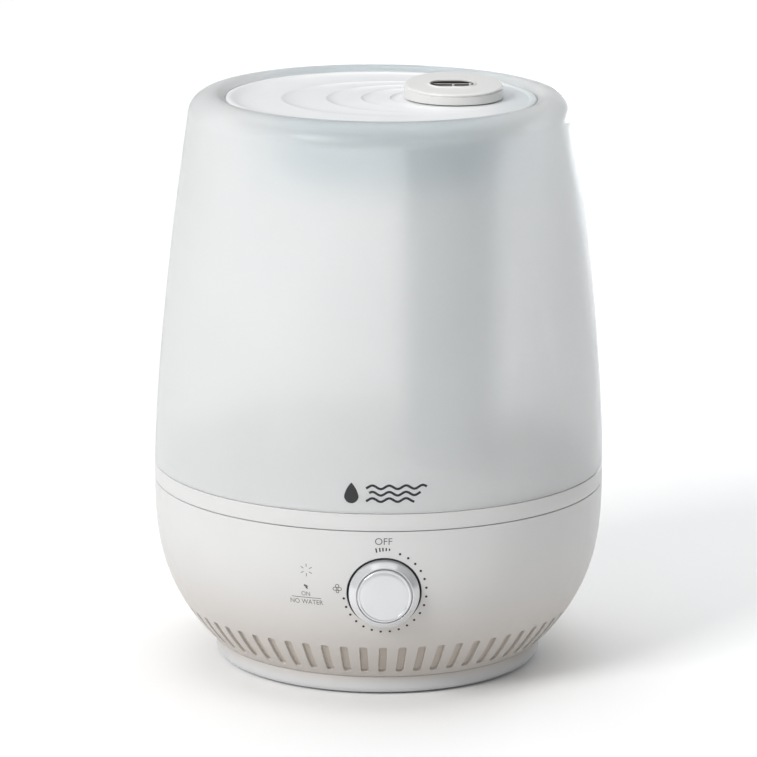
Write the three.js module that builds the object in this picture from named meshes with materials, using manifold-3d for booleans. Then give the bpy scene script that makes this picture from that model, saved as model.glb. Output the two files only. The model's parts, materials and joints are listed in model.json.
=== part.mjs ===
// Top-fill ultrasonic cool mist humidifier: a base with a knob, a lift-off tank, a lid and a turning nozzle.
// Millimetres, +Z up. The origin is on the table under the centre of the foot, and the knob faces -Y.
import * as THREE from "three";
import { mergeVertices } from "three/addons/utils/BufferGeometryUtils.js";
import Module from "manifold-3d";

const wasm = await Module();
wasm.setup();

// ---------------------------------------------------------------- driving dimensions

const GAP = 0.3; // between pieces that touch
const FINE = 40; // sides of a large round shell
const ROUND = 24; // sides of a middling round piece
const SMALL = 12; // sides of a small round piece

const FOOT_RISE = 0.8; // the foot ring stands this far off the table, on rubber pads
const FOOT_R = 80.9;
const SHELL_BOTTOM = 9.4;
const SHELL_TOP = 90.4;
const RIM_R = 111.3; // widest radius, at the tank's band
const BOWL_CREST = 95.8; // height at which the bowl would stand vertical
const BOWL_DEPTH = 85;
const BOWL_FALL = 28.5; // how much narrower the bowl is at its foot
const SHELL_WALL = 2.6;
const VENT_WALL = 1.8;
const LEDGE_Z = 86.1; // step inside the shell that carries the basin

const VENT_COUNT = 64; // the base has as many sides, with a vent in the middle of each
const VENT_WIDTH = 3.8;
const VENT_LOW = 13.3;
const VENT_HIGH = 29;

const BASIN_R = 86;
const BASIN_WALL = 2.2;
const BASIN_FLOOR = 66; // top face of the basin's floor
const FLANGE_Z = LEDGE_Z + GAP;
const FLANGE_TOP = 88.8;

const BAND_BOTTOM = SHELL_TOP + 0.4;
const BAND_TOP = 99;
const TANK_FLOOR = 98.4; // top face of the tank's floor
const TANK_START = 98.8; // height at which the tank's side stands vertical
const TANK_RUN = 162;
const TANK_FALL = 15.2; // how much narrower the tank is after TANK_RUN of height
const TANK_WALL = 2.4;
const SHOULDER_Z = 271.8;
const SHOULDER_R = 83; // radius of the crest of the shoulder
const SHOULDER_ACROSS = 11.3;
const SHOULDER_RISE = 11;
const CREST_Z = SHOULDER_Z + SHOULDER_RISE;
const MOUTH_R = 76.6;
const SEAT_R = 72.5;
const SEAT_Z = 276.5;
const SEAT_UNDER = 274;

const LID_R = 76;
const LID_Z = 280; // upper face of the lid's plate
const LID_RIM_Z = 280.6;

const MIST_X = 35.5; // the well, the mist tube and the nozzle share this upright axis
const TUBE_R = 23;
const TUBE_WALL = 1.6;
const TUBE_BOTTOM = 100;
const TUBE_TOP = 270;
const TUBE_HOLE_R = 20.5; // hole in the tank's floor under the mist tube
const NOZZLE_R = 24.2;
const NOZZLE_Z = 280.7;
const NOZZLE_TOP = 289.5;
const NOZZLE_LOW = 285.8; // height of the nozzle's top at its front

const VALVE_X = -38;
const VALVE_LIFT = 3; // the stem is held this far off its seat while the tank is on the base

const KNOB_Z = 59.6;
const KNOB_R = 16.95;
const KNOB_HOLE_R = 17.75;
const KNOB_FRONT = 115.4; // how far the knob's face is from the object's axis
const CUP_FLOOR = 99; // front face of the cup behind the knob

const PIVOT_X = -54; // the level float's lever
const PIVOT_Z = 77;
const FLOAT_Y = -62; // the low-water float's post
const FAN_X = 12;
const FAN_Y = 52;
const FAN_Z = 38;
const FAN_SIDE = 50;
const FAN_DEEP = 15;
const POST_XY = 46.7; // the four posts that the bottom cover is screwed to
const FOOT_PAD_R = 62;
const BOARD = { x: -20, y: -5, z: 24, width: 76, depth: 56, thick: 1.6 };

// ---------------------------------------------------------------- outer outlines

// The bowl narrows with the cube of the depth below its crest.
function bowlRadius(z) {
  return RIM_R - BOWL_FALL * ((BOWL_CREST - z) / BOWL_DEPTH) ** 3;
}

// The tank's side narrows with the power 3/2 of the height above its band.
function tankRadius(z) {
  return RIM_R - 0.1 - TANK_FALL * (Math.max(0, z - TANK_START) / TANK_RUN) ** 1.5;
}

// The bowl's wall is thinner behind the vents.
function bowlWall(z) {
  return VENT_WALL + (SHELL_WALL - VENT_WALL) * THREE.MathUtils.smoothstep(z, VENT_HIGH + 2, VENT_HIGH + 9);
}

// Heights at which the bowl's outer and inner faces bend.
const BOWL_BENDS = [46, 66];
const BOWL_OUTSIDE = [SHELL_BOTTOM, VENT_LOW - 0.5, VENT_HIGH + 0.5, ...BOWL_BENDS, SHELL_TOP];
const BOWL_INSIDE = [VENT_LOW, VENT_HIGH + 3, ...BOWL_BENDS, LEDGE_Z - 3];

// The bowl's inner face, moved in by a distance.
function bowlInside(offset) {
  return BOWL_INSIDE.map((z) => [bowlRadius(z) - bowlWall(z) - offset, z]);
}

// Points [radius(z), z] at even steps of z.
function outline(radius, from, to, steps) {
  return Array.from({ length: steps + 1 }, (_, i) => {
    const z = from + ((to - from) * i) / steps;
    return [radius(z), z];
  });
}

// Points on an ellipse about (r, z), from one angle to another, in degrees.
function arc(r, z, across, up, from, to, steps) {
  return Array.from({ length: steps + 1 }, (_, i) => {
    const a = THREE.MathUtils.degToRad(from + ((to - from) * i) / steps);
    return [r + across * Math.cos(a), z + up * Math.sin(a)];
  });
}

// ---------------------------------------------------------------- shapes and booleans

// Turns a closed outline of [radius, height] points about +Z. An edge faces the front, or a side if asked.
function turned(points, sides = ROUND, sideToFront = false) {
  const ring = points[0][0] > 0 ? [...points, points[0]] : points;
  const area = points.reduce((sum, [r, z], i) => {
    const [r2, z2] = points[(i + 1) % points.length];
    return sum + r * z2 - r2 * z;
  }, 0);
  const path = ring.map(([r, z]) => new THREE.Vector2(r, z));
  if (area < 0) path.reverse();
  return new THREE.LatheGeometry(path, sides, sideToFront ? Math.PI / sides : 0).rotateX(Math.PI / 2);
}

function tube(inner, outer, low, high, sides = ROUND) {
  return turned([[inner, low], [outer, low], [outer, high], [inner, high]], sides);
}

function rod(radius, low, high, sides = SMALL) {
  return new THREE.CylinderGeometry(radius, radius, high - low, sides)
    .rotateX(Math.PI / 2)
    .translate(0, 0, (low + high) / 2);
}

// A box given by its lowest and highest corners.
function block([x0, y0, z0], [x1, y1, z1]) {
  const middle = [(x0 + x1) / 2, (y0 + y1) / 2, (z0 + z1) / 2];
  return new THREE.BoxGeometry(x1 - x0, y1 - y0, z1 - z0).translate(...middle);
}

// Lays a shape that was made along +Z so that it points to the front, -Y, at a height and sideways place.
function facingFront(geometry, x, z) {
  return geometry.rotateX(Math.PI / 2).translate(x, 0, z);
}

function solid(geometry) {
  const bare = geometry.index ? geometry.toNonIndexed() : geometry.clone();
  bare.deleteAttribute("normal");
  bare.deleteAttribute("uv");
  const merged = mergeVertices(bare, 1e-4);
  const index = merged.index.array;
  const faces = [];
  for (let i = 0; i < index.length; i += 3) {
    const [a, b, c] = [index[i], index[i + 1], index[i + 2]];
    if (a !== b && b !== c && a !== c) faces.push(a, b, c);
  }
  const vertProperties = merged.attributes.position.array;
  const triVerts = new Uint32Array(faces);
  return new wasm.Manifold(new wasm.Mesh({ numProp: 3, vertProperties, triVerts }));
}

function geometryOf(body) {
  const mesh = body.getMesh();
  const geometry = new THREE.BufferGeometry();
  geometry.setAttribute("position", new THREE.BufferAttribute(mesh.vertProperties, 3));
  geometry.setIndex(new THREE.BufferAttribute(mesh.triVerts, 1));
  geometry.computeVertexNormals();
  return geometry;
}

// base, joined with every shape in add and then cut by every shape in cut.
function shaped(base, { add = [], cut = [] }) {
  let body = solid(base);
  for (const shape of add) body = body.add(solid(shape));
  for (const shape of cut) body = body.subtract(solid(shape));
  return geometryOf(body);
}

// ---------------------------------------------------------------- materials and the assembly

function finish(color, roughness, metalness = 0, opacity = 1) {
  return new THREE.MeshStandardMaterial({ color, roughness, metalness, opacity, transparent: opacity < 1 });
}

const FINISH = {
  whiteShell: finish(0xe4e2df, 0.45),
  whiteInner: finish(0xe9e9e6, 0.5),
  frosted: finish(0xdfe6e8, 0.55, 0, 0.8),
  knobGloss: finish(0xe6eaec, 0.25),
  darkPlastic: finish(0x2c2c2e, 0.6),
  rubber: finish(0x8d8d8d, 0.85),
  silicone: finish(0xd6dad8, 0.6),
  steel: finish(0xa9abad, 0.35, 1),
  aluminium: finish(0xc0c3c6, 0.4, 1),
  ceramic: finish(0xc8b98a, 0.3, 0.6),
  board: finish(0x1f6b46, 0.5),
  filter: finish(0x9b948a, 0.95),
  copper: finish(0xb5793f, 0.4, 0.8),
  lens: finish(0x4a4f52, 0.15),
};

const humidifier = new THREE.Group();

function place(name, geometry, material, x = 0, y = 0, z = 0) {
  const mesh = new THREE.Mesh(geometry, material);
  mesh.name = name;
  mesh.position.set(x, y, z);
  humidifier.add(mesh);
}

// ---------------------------------------------------------------- base: shell, cover, feet and filter

// A cutter for one vent, a slot that runs up the slope of the bowl.
function ventCutter(turn) {
  const run = new THREE.Vector2(bowlRadius(VENT_HIGH) - bowlRadius(VENT_LOW), VENT_HIGH - VENT_LOW);
  const middle = (VENT_LOW + VENT_HIGH) / 2;
  return new THREE.BoxGeometry(VENT_WIDTH, 12, run.length())
    .rotateX(Math.atan2(run.x, run.y))
    .translate(0, -bowlRadius(middle), middle)
    .rotateZ(turn);
}

const LENS_X = -36.5;
const LENS_Z = 61.3;
const GLAND_Z = 42;
const glandSlope = Math.atan((3 * BOWL_FALL * (BOWL_CREST - GLAND_Z) ** 2) / BOWL_DEPTH ** 3);

// Points a shape made along +Z out of the back of the bowl, square to its slope.
function outOfBack(geometry) {
  return geometry
    .rotateX(-Math.PI / 2 - glandSlope)
    .translate(0, bowlRadius(GLAND_Z), GLAND_Z);
}

function baseShell() {
  const lipR = bowlRadius(SHELL_TOP) - SHELL_WALL;
  const body = turned([
    ...BOWL_OUTSIDE.map((z) => [bowlRadius(z), z]),
    [lipR, SHELL_TOP],
    [lipR, LEDGE_Z],
    [lipR - 2.4, LEDGE_Z],
    ...bowlInside(0).reverse(),
    [77.5, SHELL_BOTTOM + 2],
    [77.5, SHELL_BOTTOM],
  ], VENT_COUNT, true);
  const vents = Array.from({ length: VENT_COUNT }, (_, i) => ventCutter((i * 2 * Math.PI) / VENT_COUNT));
  return shaped(body, {
    cut: [
      ...vents,
      facingFront(rod(KNOB_HOLE_R, 90, 125, ROUND), 0, KNOB_Z),
      facingFront(rod(1.4, 90, 125, 12), LENS_X, LENS_Z),
      outOfBack(rod(4.8, -10, 10)),
    ],
  });
}

function bottomCover() {
  const plateTop = 5.4;
  const body = turned([
    [0, 3],
    [75, 3],
    [76, FOOT_RISE],
    ...arc(FOOT_R - 3, FOOT_RISE + 3, 3, 3, -90, 0, 3),
    [FOOT_R, SHELL_BOTTOM - GAP],
    [77, SHELL_BOTTOM - GAP],
    [77, 12.5],
    [75.4, 12.5],
    [75.4, plateTop],
    [0, plateTop],
  ], FINE);
  const standoffs = [-1, 1].flatMap((i) => [-1, 1].map((j) =>
    rod(3, plateTop - 0.2, BOARD.z - GAP, 12).translate(BOARD.x + i * 34, BOARD.y + j * 24, 0)));
  const screwHoles = [-1, 1].flatMap((i) => [-1, 1].map((j) =>
    rod(2, 0, 10, 12).translate(i * POST_XY, j * POST_XY, 0)));
  return shaped(body, { add: standoffs, cut: screwHoles });
}

place("base_shell", baseShell(), FINISH.whiteShell);
place("bottom_cover", bottomCover(), FINISH.whiteShell);
place("dust_filter", turned([
  ...bowlInside(0.4).slice(0, 2),
  ...bowlInside(1.6).slice(0, 2).reverse(),
], VENT_COUNT, true), FINISH.filter);

for (let i = 0; i < 4; i++) {
  const turn = (i * Math.PI) / 2;
  const [x, y] = [FOOT_PAD_R * Math.cos(turn), FOOT_PAD_R * Math.sin(turn)];
  const pad = turned([[0, 0], [6.2, 0], [7, 0.8], [7, 2.7], [0, 2.7]], SMALL);
  place(`rubber_foot_${i + 1}`, pad, FINISH.rubber, x, y);
}
for (let i = 0; i < 4; i++) {
  const [x, y] = [i % 2 ? POST_XY : -POST_XY, i > 1 ? POST_XY : -POST_XY];
  place(`cover_screw_${i + 1}`, turned([
    [0, 1.2], [2.6, 1.2], [3.4, 2], [3.4, 2.7], [1.1, 2.7], [1.1, 17], [0, 18],
  ], 12), FINISH.steel, x, y);
}

// The cord's gland in the back of the shell; the cord itself isn't part of the model.
place("cord_gland", outOfBack(turned([
  [2.6, -5], [4.4, -5], [4.4, GAP], [7.2, GAP], [6.4, 2.2], [2.6, 2.2],
], SMALL)), FINISH.rubber);

// ---------------------------------------------------------------- base: basin and what works in it

function basin() {
  const inner = BASIN_R - BASIN_WALL;
  const under = BASIN_FLOOR - BASIN_WALL;
  const body = turned([
    [0, under],
    [BASIN_R, under],
    [BASIN_R, FLANGE_Z],
    [108.2, FLANGE_Z],
    [108.2, FLANGE_TOP],
    [inner, FLANGE_TOP],
    ...arc(inner - 3, BASIN_FLOOR + 3, 3, 3, 0, -90, 2),
    [0, BASIN_FLOOR],
  ], FINE);
  const posts = [-1, 1].flatMap((i) => [-1, 1].map((j) =>
    tube(1.4, 4.5, 5.7, under + 0.5, 10).translate(i * POST_XY, j * POST_XY, 0)));
  const ears = [-1, 1].map((side) => block(
    [PIVOT_X - 4, side * 9 - 1, BASIN_FLOOR - 0.5],
    [PIVOT_X + 4, side * 9 + 1, PIVOT_Z + 4],
  ));
  return shaped(body, {
    add: [
      rod(17.5, 56, under + 0.5, ROUND).translate(MIST_X, 0, 0),
      rod(14, 60, 84, 24).translate(FAN_X, FAN_Y, 0),
      rod(3, BASIN_FLOOR - 0.5, 84).translate(0, FLOAT_Y, 0),
      ...posts,
      ...ears,
    ],
    cut: [
      rod(15.5, 58, 70, ROUND).translate(MIST_X, 0, 0),
      rod(9.5, 50, 60, 24).translate(MIST_X, 0, 0),
      rod(12, 50, 90, 24).translate(FAN_X, FAN_Y, 0),
      rod(1.5, -12, 12, 12).rotateX(Math.PI / 2).translate(PIVOT_X, 0, PIVOT_Z),
      ...[-1, 1].map((side) => rod(1.2, 50, 57.8, 12).translate(MIST_X + side * 14.3, 0, 0)),
    ],
  });
}

place("basin", basin(), FINISH.whiteInner);
place("transducer_gasket", tube(7.5, 11.5, 53.9, 55.7, 24), FINISH.silicone, MIST_X);
place("transducer_disc", rod(10, 52.4, 53.6, 24), FINISH.ceramic, MIST_X);
place("transducer_plate", shaped(tube(7, 17.3, 49.9, 52.1, 24), {
  cut: [-1, 1].map((side) => rod(1.3, 48, 54, 12).translate(side * 14.3, 0, 0)),
}), FINISH.aluminium, MIST_X);
for (const side of [-1, 1]) {
  const name = `transducer_screw_${side < 0 ? 1 : 2}`;
  const screw = turned([[0, 48], [2.4, 48], [2.4, 49.6], [0.9, 49.6], [0.9, 57.2], [0, 57.5]], 12);
  place(name, screw, FINISH.steel, MIST_X + side * 14.3);
}

function mistGuide() {
  const windows = [0, 1].map((i) => block([-20, -4.5, 81], [20, 4.5, 89]).rotateZ((i * Math.PI) / 2));
  const notches = [0, 1].map((i) => block([-20, -6, 60], [20, 6, 70]).rotateZ(((i + 0.5) * Math.PI) / 2));
  return shaped(tube(16, 17.5, BASIN_FLOOR + GAP, 94), { cut: [...windows, ...notches] });
}
place("mist_guide", mistGuide(), FINISH.whiteInner, MIST_X);

place("low_water_float", turned([
  [3.6, 66.3], [4.6, 66.3], [4.6, 69.9], [8.2, 69.9],
  [8.2, 66.3], [10, 66.3], [10, 75.3], [9, 76.3], [3.6, 76.3],
], 16), FINISH.silicone, 0, FLOAT_Y);
place("float_magnet", tube(4.9, 7.9, 66.4, 69.5, 16), FINISH.darkPlastic, 0, FLOAT_Y);
place("float_clip", tube(3.3, 6.5, 81.6, 83.2, 14), FINISH.whiteInner, 0, FLOAT_Y);

// The level float's lever: its finger holds the tank's valve open until the float rises.
function levelFloatArm() {
  const reach = VALVE_X - PIVOT_X;
  return shaped(rod(4, -7, 7, SMALL).rotateX(Math.PI / 2), {
    add: [
      block([-6, -4, -2], [reach + 2.4, 4, 2]),
      rod(2.2, -1, 90.3 - PIVOT_Z).translate(reach, 0, 0),
    ],
    cut: [rod(1.5, -12, 12, 12).rotateX(Math.PI / 2)],
  });
}
place("level_float_arm", levelFloatArm(), FINISH.whiteInner, PIVOT_X, 0, PIVOT_Z);
place("level_float_block", block([-78, -12, 69], [PIVOT_X - 6 - GAP, 12, 83]), FINISH.silicone);
place("level_float_pin", rod(1.2, -11, 11, 12).rotateX(Math.PI / 2), FINISH.steel, PIVOT_X, 0, PIVOT_Z);

// ---------------------------------------------------------------- base: fan, boards and knob works

function fanFrame() {
  const half = FAN_SIDE / 2;
  const struts = [45, 135].map((degrees) => block([-half + 0.5, -1.5, 0], [half - 0.5, 1.5, 2])
    .rotateZ(THREE.MathUtils.degToRad(degrees)));
  const rim = shaped(block([-half, -half, 0], [half, half, FAN_DEEP]), { cut: [rod(23.4, -1, 20, ROUND)] });
  return shaped(rim, { add: [rod(9, 0, 2), ...struts] });
}

function fanRotor() {
  const blades = Array.from({ length: 7 }, (_, i) => block([8, -0.6, -5.5], [22.2, 0.6, 5.5])
    .rotateX(THREE.MathUtils.degToRad(50))
    .translate(0, 0, 8.2)
    .rotateZ((i * 2 * Math.PI) / 7));
  return shaped(rod(9, 2.6, 14, 14), { add: blades });
}

place("fan_frame", fanFrame(), FINISH.darkPlastic, FAN_X, FAN_Y, FAN_Z);
place("fan_rotor", fanRotor(), FINISH.darkPlastic, FAN_X, FAN_Y, FAN_Z);
place("fan_duct", turned([
  [23.4, 53.3], [25, 53.3], [25, 55], [15.9, 60.5],
  [15.9, 63.5], [14.3, 63.5], [14.3, 59.7], [23.4, 54.6],
], 24), FINISH.whiteInner, FAN_X, FAN_Y);

function heatSink() {
  const fin = block([-15, -10, 2], [-13.8, 10, 18]);
  const fins = Array.from({ length: 6 }, (_, i) => fin.clone().translate(i * 5.76, 0, 0));
  return shaped(block([-15, -10, 0], [15, 10, 3]), { add: fins });
}

const boardTop = BOARD.z + BOARD.thick + GAP;
place("driver_board", block(
  [-BOARD.width / 2, -BOARD.depth / 2, 0],
  [BOARD.width / 2, BOARD.depth / 2, BOARD.thick],
), FINISH.board, BOARD.x, BOARD.y, BOARD.z);
place("heat_sink", heatSink(), FINISH.aluminium, 0, -20, boardTop);
const can = turned([[0, 0], [6.5, 0], [6.5, 21.2], [5.9, 22], [0, 22]], SMALL);
place("capacitor", can, FINISH.darkPlastic, -12, 12, boardTop);
place("transformer", shaped(block([-13, -11, 0], [13, 11, 20]), {
  cut: [-1, 1].map((side) => block([-8, side * 11 - 3, 4], [8, side * 11 + 3, 16])),
}), FINISH.copper, -40, 3, boardTop);

// The space inside the bowl, used to trim the cup behind the knob.
function insideOfBowl() {
  const side = bowlInside(GAP).slice(1);
  return turned([[0, side[0][1]], ...side, [0, side.at(-1)[1]]], VENT_COUNT, true);
}

function knobCup() {
  const cup = facingFront(turned([
    [4.2, CUP_FLOOR - 1.6], [19.4, CUP_FLOOR - 1.6], [19.4, 112],
    [17.9, 112], [17.9, CUP_FLOOR], [4.2, CUP_FLOOR],
  ]), 0, KNOB_Z);
  return geometryOf(solid(cup).intersect(solid(insideOfBowl())));
}

place("knob_cup", knobCup(), FINISH.darkPlastic);
place("control_board", block([-44, -89.8, 44], [22, -88.2, 76]), FINISH.board);
place("potentiometer", facingFront(turned([
  [0, 90.1], [8, 90.1], [8, 97.1], [3.3, 97.1], [3.3, 93.5], [0, 93.5],
], SMALL), 0, KNOB_Z), FINISH.steel);
place("indicator_led", block([-1.5, -92.9, -1.5], [1.5, -90.1, 1.5]), FINISH.lens, LENS_X, 0, LENS_Z);
place("indicator_lens", facingFront(rod(1.1, 93.2, 103, 12), LENS_X, LENS_Z), FINISH.lens);

const knobWeb = KNOB_FRONT - 2.7; // front face of the knob's web, which the cap sits on
place("knob_shaft", facingFront(rod(3, 93.8, knobWeb - 0.2), 0, KNOB_Z), FINISH.steel);
place("knob", facingFront(turned([
  [3.3, 101],
  [5.2, 101],
  [5.2, knobWeb - 1.8],
  [15.2, knobWeb - 1.8],
  [15.2, CUP_FLOOR + 0.6],
  [KNOB_R, CUP_FLOOR + 0.6],
  ...arc(KNOB_R - 3.4, knobWeb - 3.4, 3.4, 5, 0, 90, 5),
  [13.3, knobWeb],
  [3.3, knobWeb],
]), 0, KNOB_Z), FINISH.knobGloss);
place("knob_cap", facingFront(turned([
  [0, knobWeb + GAP],
  [12.9, knobWeb + GAP],
  [12.9, KNOB_FRONT - 0.7],
  [12.2, KNOB_FRONT - 0.1],
  [0, KNOB_FRONT],
]), 0, KNOB_Z), FINISH.knobGloss);

// ---------------------------------------------------------------- tank

function tankBase() {
  const plateUnder = TANK_FLOOR - 2.4;
  const body = turned([
    [0, plateUnder],
    [81.5, plateUnder],
    [81.5, 84],
    [83, 84],
    [83, plateUnder],
    [109, plateUnder],
    [109, BAND_BOTTOM],
    [RIM_R - 0.05, BAND_BOTTOM],
    [RIM_R - 0.05, BAND_TOP],
    [108.5, BAND_TOP],
    [108.5, 103],
    [106.9, 103],
    [106.9, TANK_FLOOR],
    [0, TANK_FLOOR],
  ], FINE);
  return shaped(body, {
    add: [tube(TUBE_R + GAP, TUBE_R + 2, TANK_FLOOR - 0.5, 106).translate(MIST_X, 0, 0)],
    cut: [
      rod(TUBE_HOLE_R, 90, 100, ROUND).translate(MIST_X, 0, 0),
      rod(12.3, 90, 100, 28).translate(VALVE_X, 0, 0),
    ],
  });
}

function tankShell() {
  const wallTop = SHOULDER_Z - 3;
  return turned([
    ...outline(tankRadius, BAND_TOP + GAP, wallTop, 4),
    ...arc(SHOULDER_R, SHOULDER_Z, SHOULDER_ACROSS, SHOULDER_RISE, 10, 90, 4),
    [MOUTH_R + 2, CREST_Z - 0.7],
    [MOUTH_R, CREST_Z - 1.7],
    [MOUTH_R, SEAT_Z],
    [SEAT_R, SEAT_Z],
    [SEAT_R, SEAT_UNDER],
    [79, SEAT_UNDER],
    [79, CREST_Z - 3.2],
    ...arc(SHOULDER_R, SHOULDER_Z, SHOULDER_ACROSS - TANK_WALL, SHOULDER_RISE - 2.6, 90, 10, 3),
    ...outline((z) => tankRadius(z) - TANK_WALL, wallTop, BAND_TOP + GAP, 4),
  ], FINE);
}

place("tank_shell", tankShell(), FINISH.frosted);
place("tank_base", tankBase(), FINISH.whiteShell);
place("mist_tube", tube(TUBE_R - TUBE_WALL, TUBE_R, TUBE_BOTTOM, TUBE_TOP), FINISH.frosted, MIST_X);
const tubeSeal = tube(TUBE_HOLE_R + GAP, TUBE_R - 0.1, TANK_FLOOR + GAP, TUBE_BOTTOM - GAP);
place("mist_tube_seal", tubeSeal, FINISH.silicone, MIST_X);

// ---------------------------------------------------------------- tank valve

function valveCage() {
  const windows = [0, 1].map((i) => block([-14, -4.5, 99.5], [14, 4.5, 106]).rotateZ((i * Math.PI) / 2));
  return shaped(turned([
    [5.5, 92.4], [15, 92.4], [15, 95.7], [12, 95.7], [12, 109],
    [2.3, 109], [2.3, 107.2], [10.2, 107.2], [10.2, 94], [5.5, 94],
  ], 16), { cut: windows });
}

const SEAL_Z = 94 + GAP + VALVE_LIFT;
const STEM_DISC_Z = SEAL_Z + 1.5;

// The spring's centre line: a helix of even pitch.
class Helix extends THREE.Curve {
  constructor(radius, low, high, turns) {
    super();
    Object.assign(this, { radius, low, high, turns });
  }
  getPoint(t, target = new THREE.Vector3()) {
    const angle = t * this.turns * 2 * Math.PI;
    const z = this.low + t * (this.high - this.low);
    return target.set(this.radius * Math.cos(angle), this.radius * Math.sin(angle), z);
  }
}

function valveSpring() {
  const wire = new THREE.Shape().absarc(0, 0, 0.45, 0, 2 * Math.PI);
  const path = new Helix(4.5, STEM_DISC_Z + 1.95, 106.4, 4);
  return new THREE.ExtrudeGeometry(wire, { steps: 32, curveSegments: 2, extrudePath: path });
}

place("valve_cage", valveCage(), FINISH.whiteInner, VALVE_X);
place("valve_stem", turned([
  [0, 90.6], [1.4, 90.6], [1.8, 91], [1.8, STEM_DISC_Z], [8.2, STEM_DISC_Z], [8.2, STEM_DISC_Z + 1.2],
  [1.8, STEM_DISC_Z + 1.2], [1.8, 112], [0, 112],
], 16), FINISH.whiteInner, VALVE_X);
place("valve_seal", tube(2.1, 8.6, SEAL_Z, SEAL_Z + 1.2, 16), FINISH.silicone, VALVE_X);
place("valve_spring", valveSpring(), FINISH.steel, VALVE_X);

// ---------------------------------------------------------------- lid and nozzle

function lid() {
  const plateUnder = LID_Z - 2.4;
  const body = turned([
    [0, plateUnder],
    [70.2, plateUnder],
    [70.2, 268],
    [71.9, 268],
    [71.9, SEAT_Z + GAP],
    [LID_R, SEAT_Z + GAP],
    [LID_R, LID_RIM_Z - 0.8],
    [LID_R - 0.8, LID_RIM_Z],
    [LID_R - 2.6, LID_RIM_Z],
    [LID_R - 3.8, LID_Z],
    [0, LID_Z],
  ], FINE);
  return shaped(body, {
    add: [rod(19.6, 258, LID_Z - 1, ROUND).translate(MIST_X, 0, 0)],
    cut: [rod(18.2, 250, 290, ROUND).translate(MIST_X, 0, 0)],
  });
}

// A slot with round ends, long side along X, cut straight down through the cap.
function slotCutter(length, width, x, y, low, high) {
  const half = (length - width) / 2;
  const shape = new THREE.Shape();
  shape.absarc(half, 0, width / 2, -Math.PI / 2, Math.PI / 2);
  shape.absarc(-half, 0, width / 2, Math.PI / 2, (3 * Math.PI) / 2);
  const settings = { depth: high - low, bevelEnabled: false, curveSegments: 4 };
  return new THREE.ExtrudeGeometry(shape, settings).translate(x, y, low);
}

// The cap's flat top leans to the front, where the side is lowest.
function nozzleCap() {
  const lean = Math.atan((NOZZLE_TOP - 0.1 - NOZZLE_LOW) / (2 * NOZZLE_R));
  const above = block([-30, -30, 0], [30, 30, 12]).rotateX(lean)
    .translate(0, 0, (NOZZLE_TOP - 0.1 + NOZZLE_LOW) / 2);
  return shaped(turned([
    [0, 286.2],
    [16, 285.4],
    [16, 272],
    [17.7, 272],
    [17.7, 284.6],
    [22.4, 284.2],
    [22.4, NOZZLE_Z],
    [NOZZLE_R, NOZZLE_Z],
    [NOZZLE_R, NOZZLE_TOP + 1],
    [0, NOZZLE_TOP + 1],
  ], 32), { cut: [above, slotCutter(21.5, 10, 0, -2.5, 280, 295)] });
}

function nozzleBaffle() {
  const arms = [0, 1].map((i) => block([-14.5, -2, 275], [14.5, 2, 276.6]).rotateZ((i * Math.PI) / 2));
  const ribs = [0, 9].map((x) => block([x - 0.6, -8, 276], [x + 0.6, 5, 282]));
  return shaped(tube(13.8, 15.7, 274, 281, 24), { add: [rod(10.5, 275, 276.6, 20), ...arms, ...ribs] });
}

place("lid", lid(), FINISH.whiteShell);
const ductSeal = turned([[19.9, 262], [20.5, 262], [21.1, 263.5], [20.5, 265], [19.9, 265]]);
place("lid_seal", ductSeal, FINISH.silicone, MIST_X);
place("nozzle_cap", nozzleCap(), FINISH.whiteShell, MIST_X);
place("nozzle_baffle", nozzleBaffle(), FINISH.darkPlastic, MIST_X);

export default humidifier;
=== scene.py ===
"""Looks for a top-fill cool mist humidifier, laid out as a Blender add-on and run as a script.

Metres, +Z up, the knob faces -Y. Every new piece is a surface worked out with numpy and put over the CAD
frame; the pieces inside keep their CAD shape.
"""

import json
import math

import bpy
import numpy as np
from bpy.props import FloatProperty, FloatVectorProperty, IntProperty, PointerProperty
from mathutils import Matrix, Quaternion, Vector


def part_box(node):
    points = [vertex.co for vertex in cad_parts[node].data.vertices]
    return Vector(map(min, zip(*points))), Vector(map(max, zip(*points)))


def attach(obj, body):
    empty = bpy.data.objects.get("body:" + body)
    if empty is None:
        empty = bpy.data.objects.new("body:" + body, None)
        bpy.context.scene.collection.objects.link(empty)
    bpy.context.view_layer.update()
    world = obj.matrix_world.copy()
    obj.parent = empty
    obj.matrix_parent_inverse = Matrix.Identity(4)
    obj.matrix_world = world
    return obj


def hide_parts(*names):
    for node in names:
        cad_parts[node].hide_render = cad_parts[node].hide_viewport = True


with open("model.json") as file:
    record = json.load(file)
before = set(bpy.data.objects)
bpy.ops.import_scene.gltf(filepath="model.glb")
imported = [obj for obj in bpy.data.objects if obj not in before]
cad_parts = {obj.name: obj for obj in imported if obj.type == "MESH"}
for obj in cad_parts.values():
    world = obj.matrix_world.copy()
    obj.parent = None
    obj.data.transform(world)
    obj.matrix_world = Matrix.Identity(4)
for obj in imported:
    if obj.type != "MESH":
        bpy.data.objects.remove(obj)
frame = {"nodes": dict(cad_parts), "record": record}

bl_info = {
    "name": "Cool mist humidifier",
    "version": (1, 0, 0),
    "blender": (4, 5, 0),
    "location": "View3D > Sidebar > Humidifier",
    "description": "Builds the shells, knob, nozzle, prints and studio of a cool mist humidifier",
    "category": "Object",
}

MM = 0.001
FULL_TURN = 2 * math.pi
SLOT_SLANT = math.hypot(1, 0.76)  # length along the bowl for a rise of 1, where the air slots are
CRISP = math.radians(32)  # edges that turn by more than this are not shaded smooth


def low(node):
    """The lower corner of a CAD node's box."""
    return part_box(node)[0]


def high(node):
    """The upper corner of a CAD node's box."""
    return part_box(node)[1]


# ---------------------------------------------------------------- what a user may change


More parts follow.
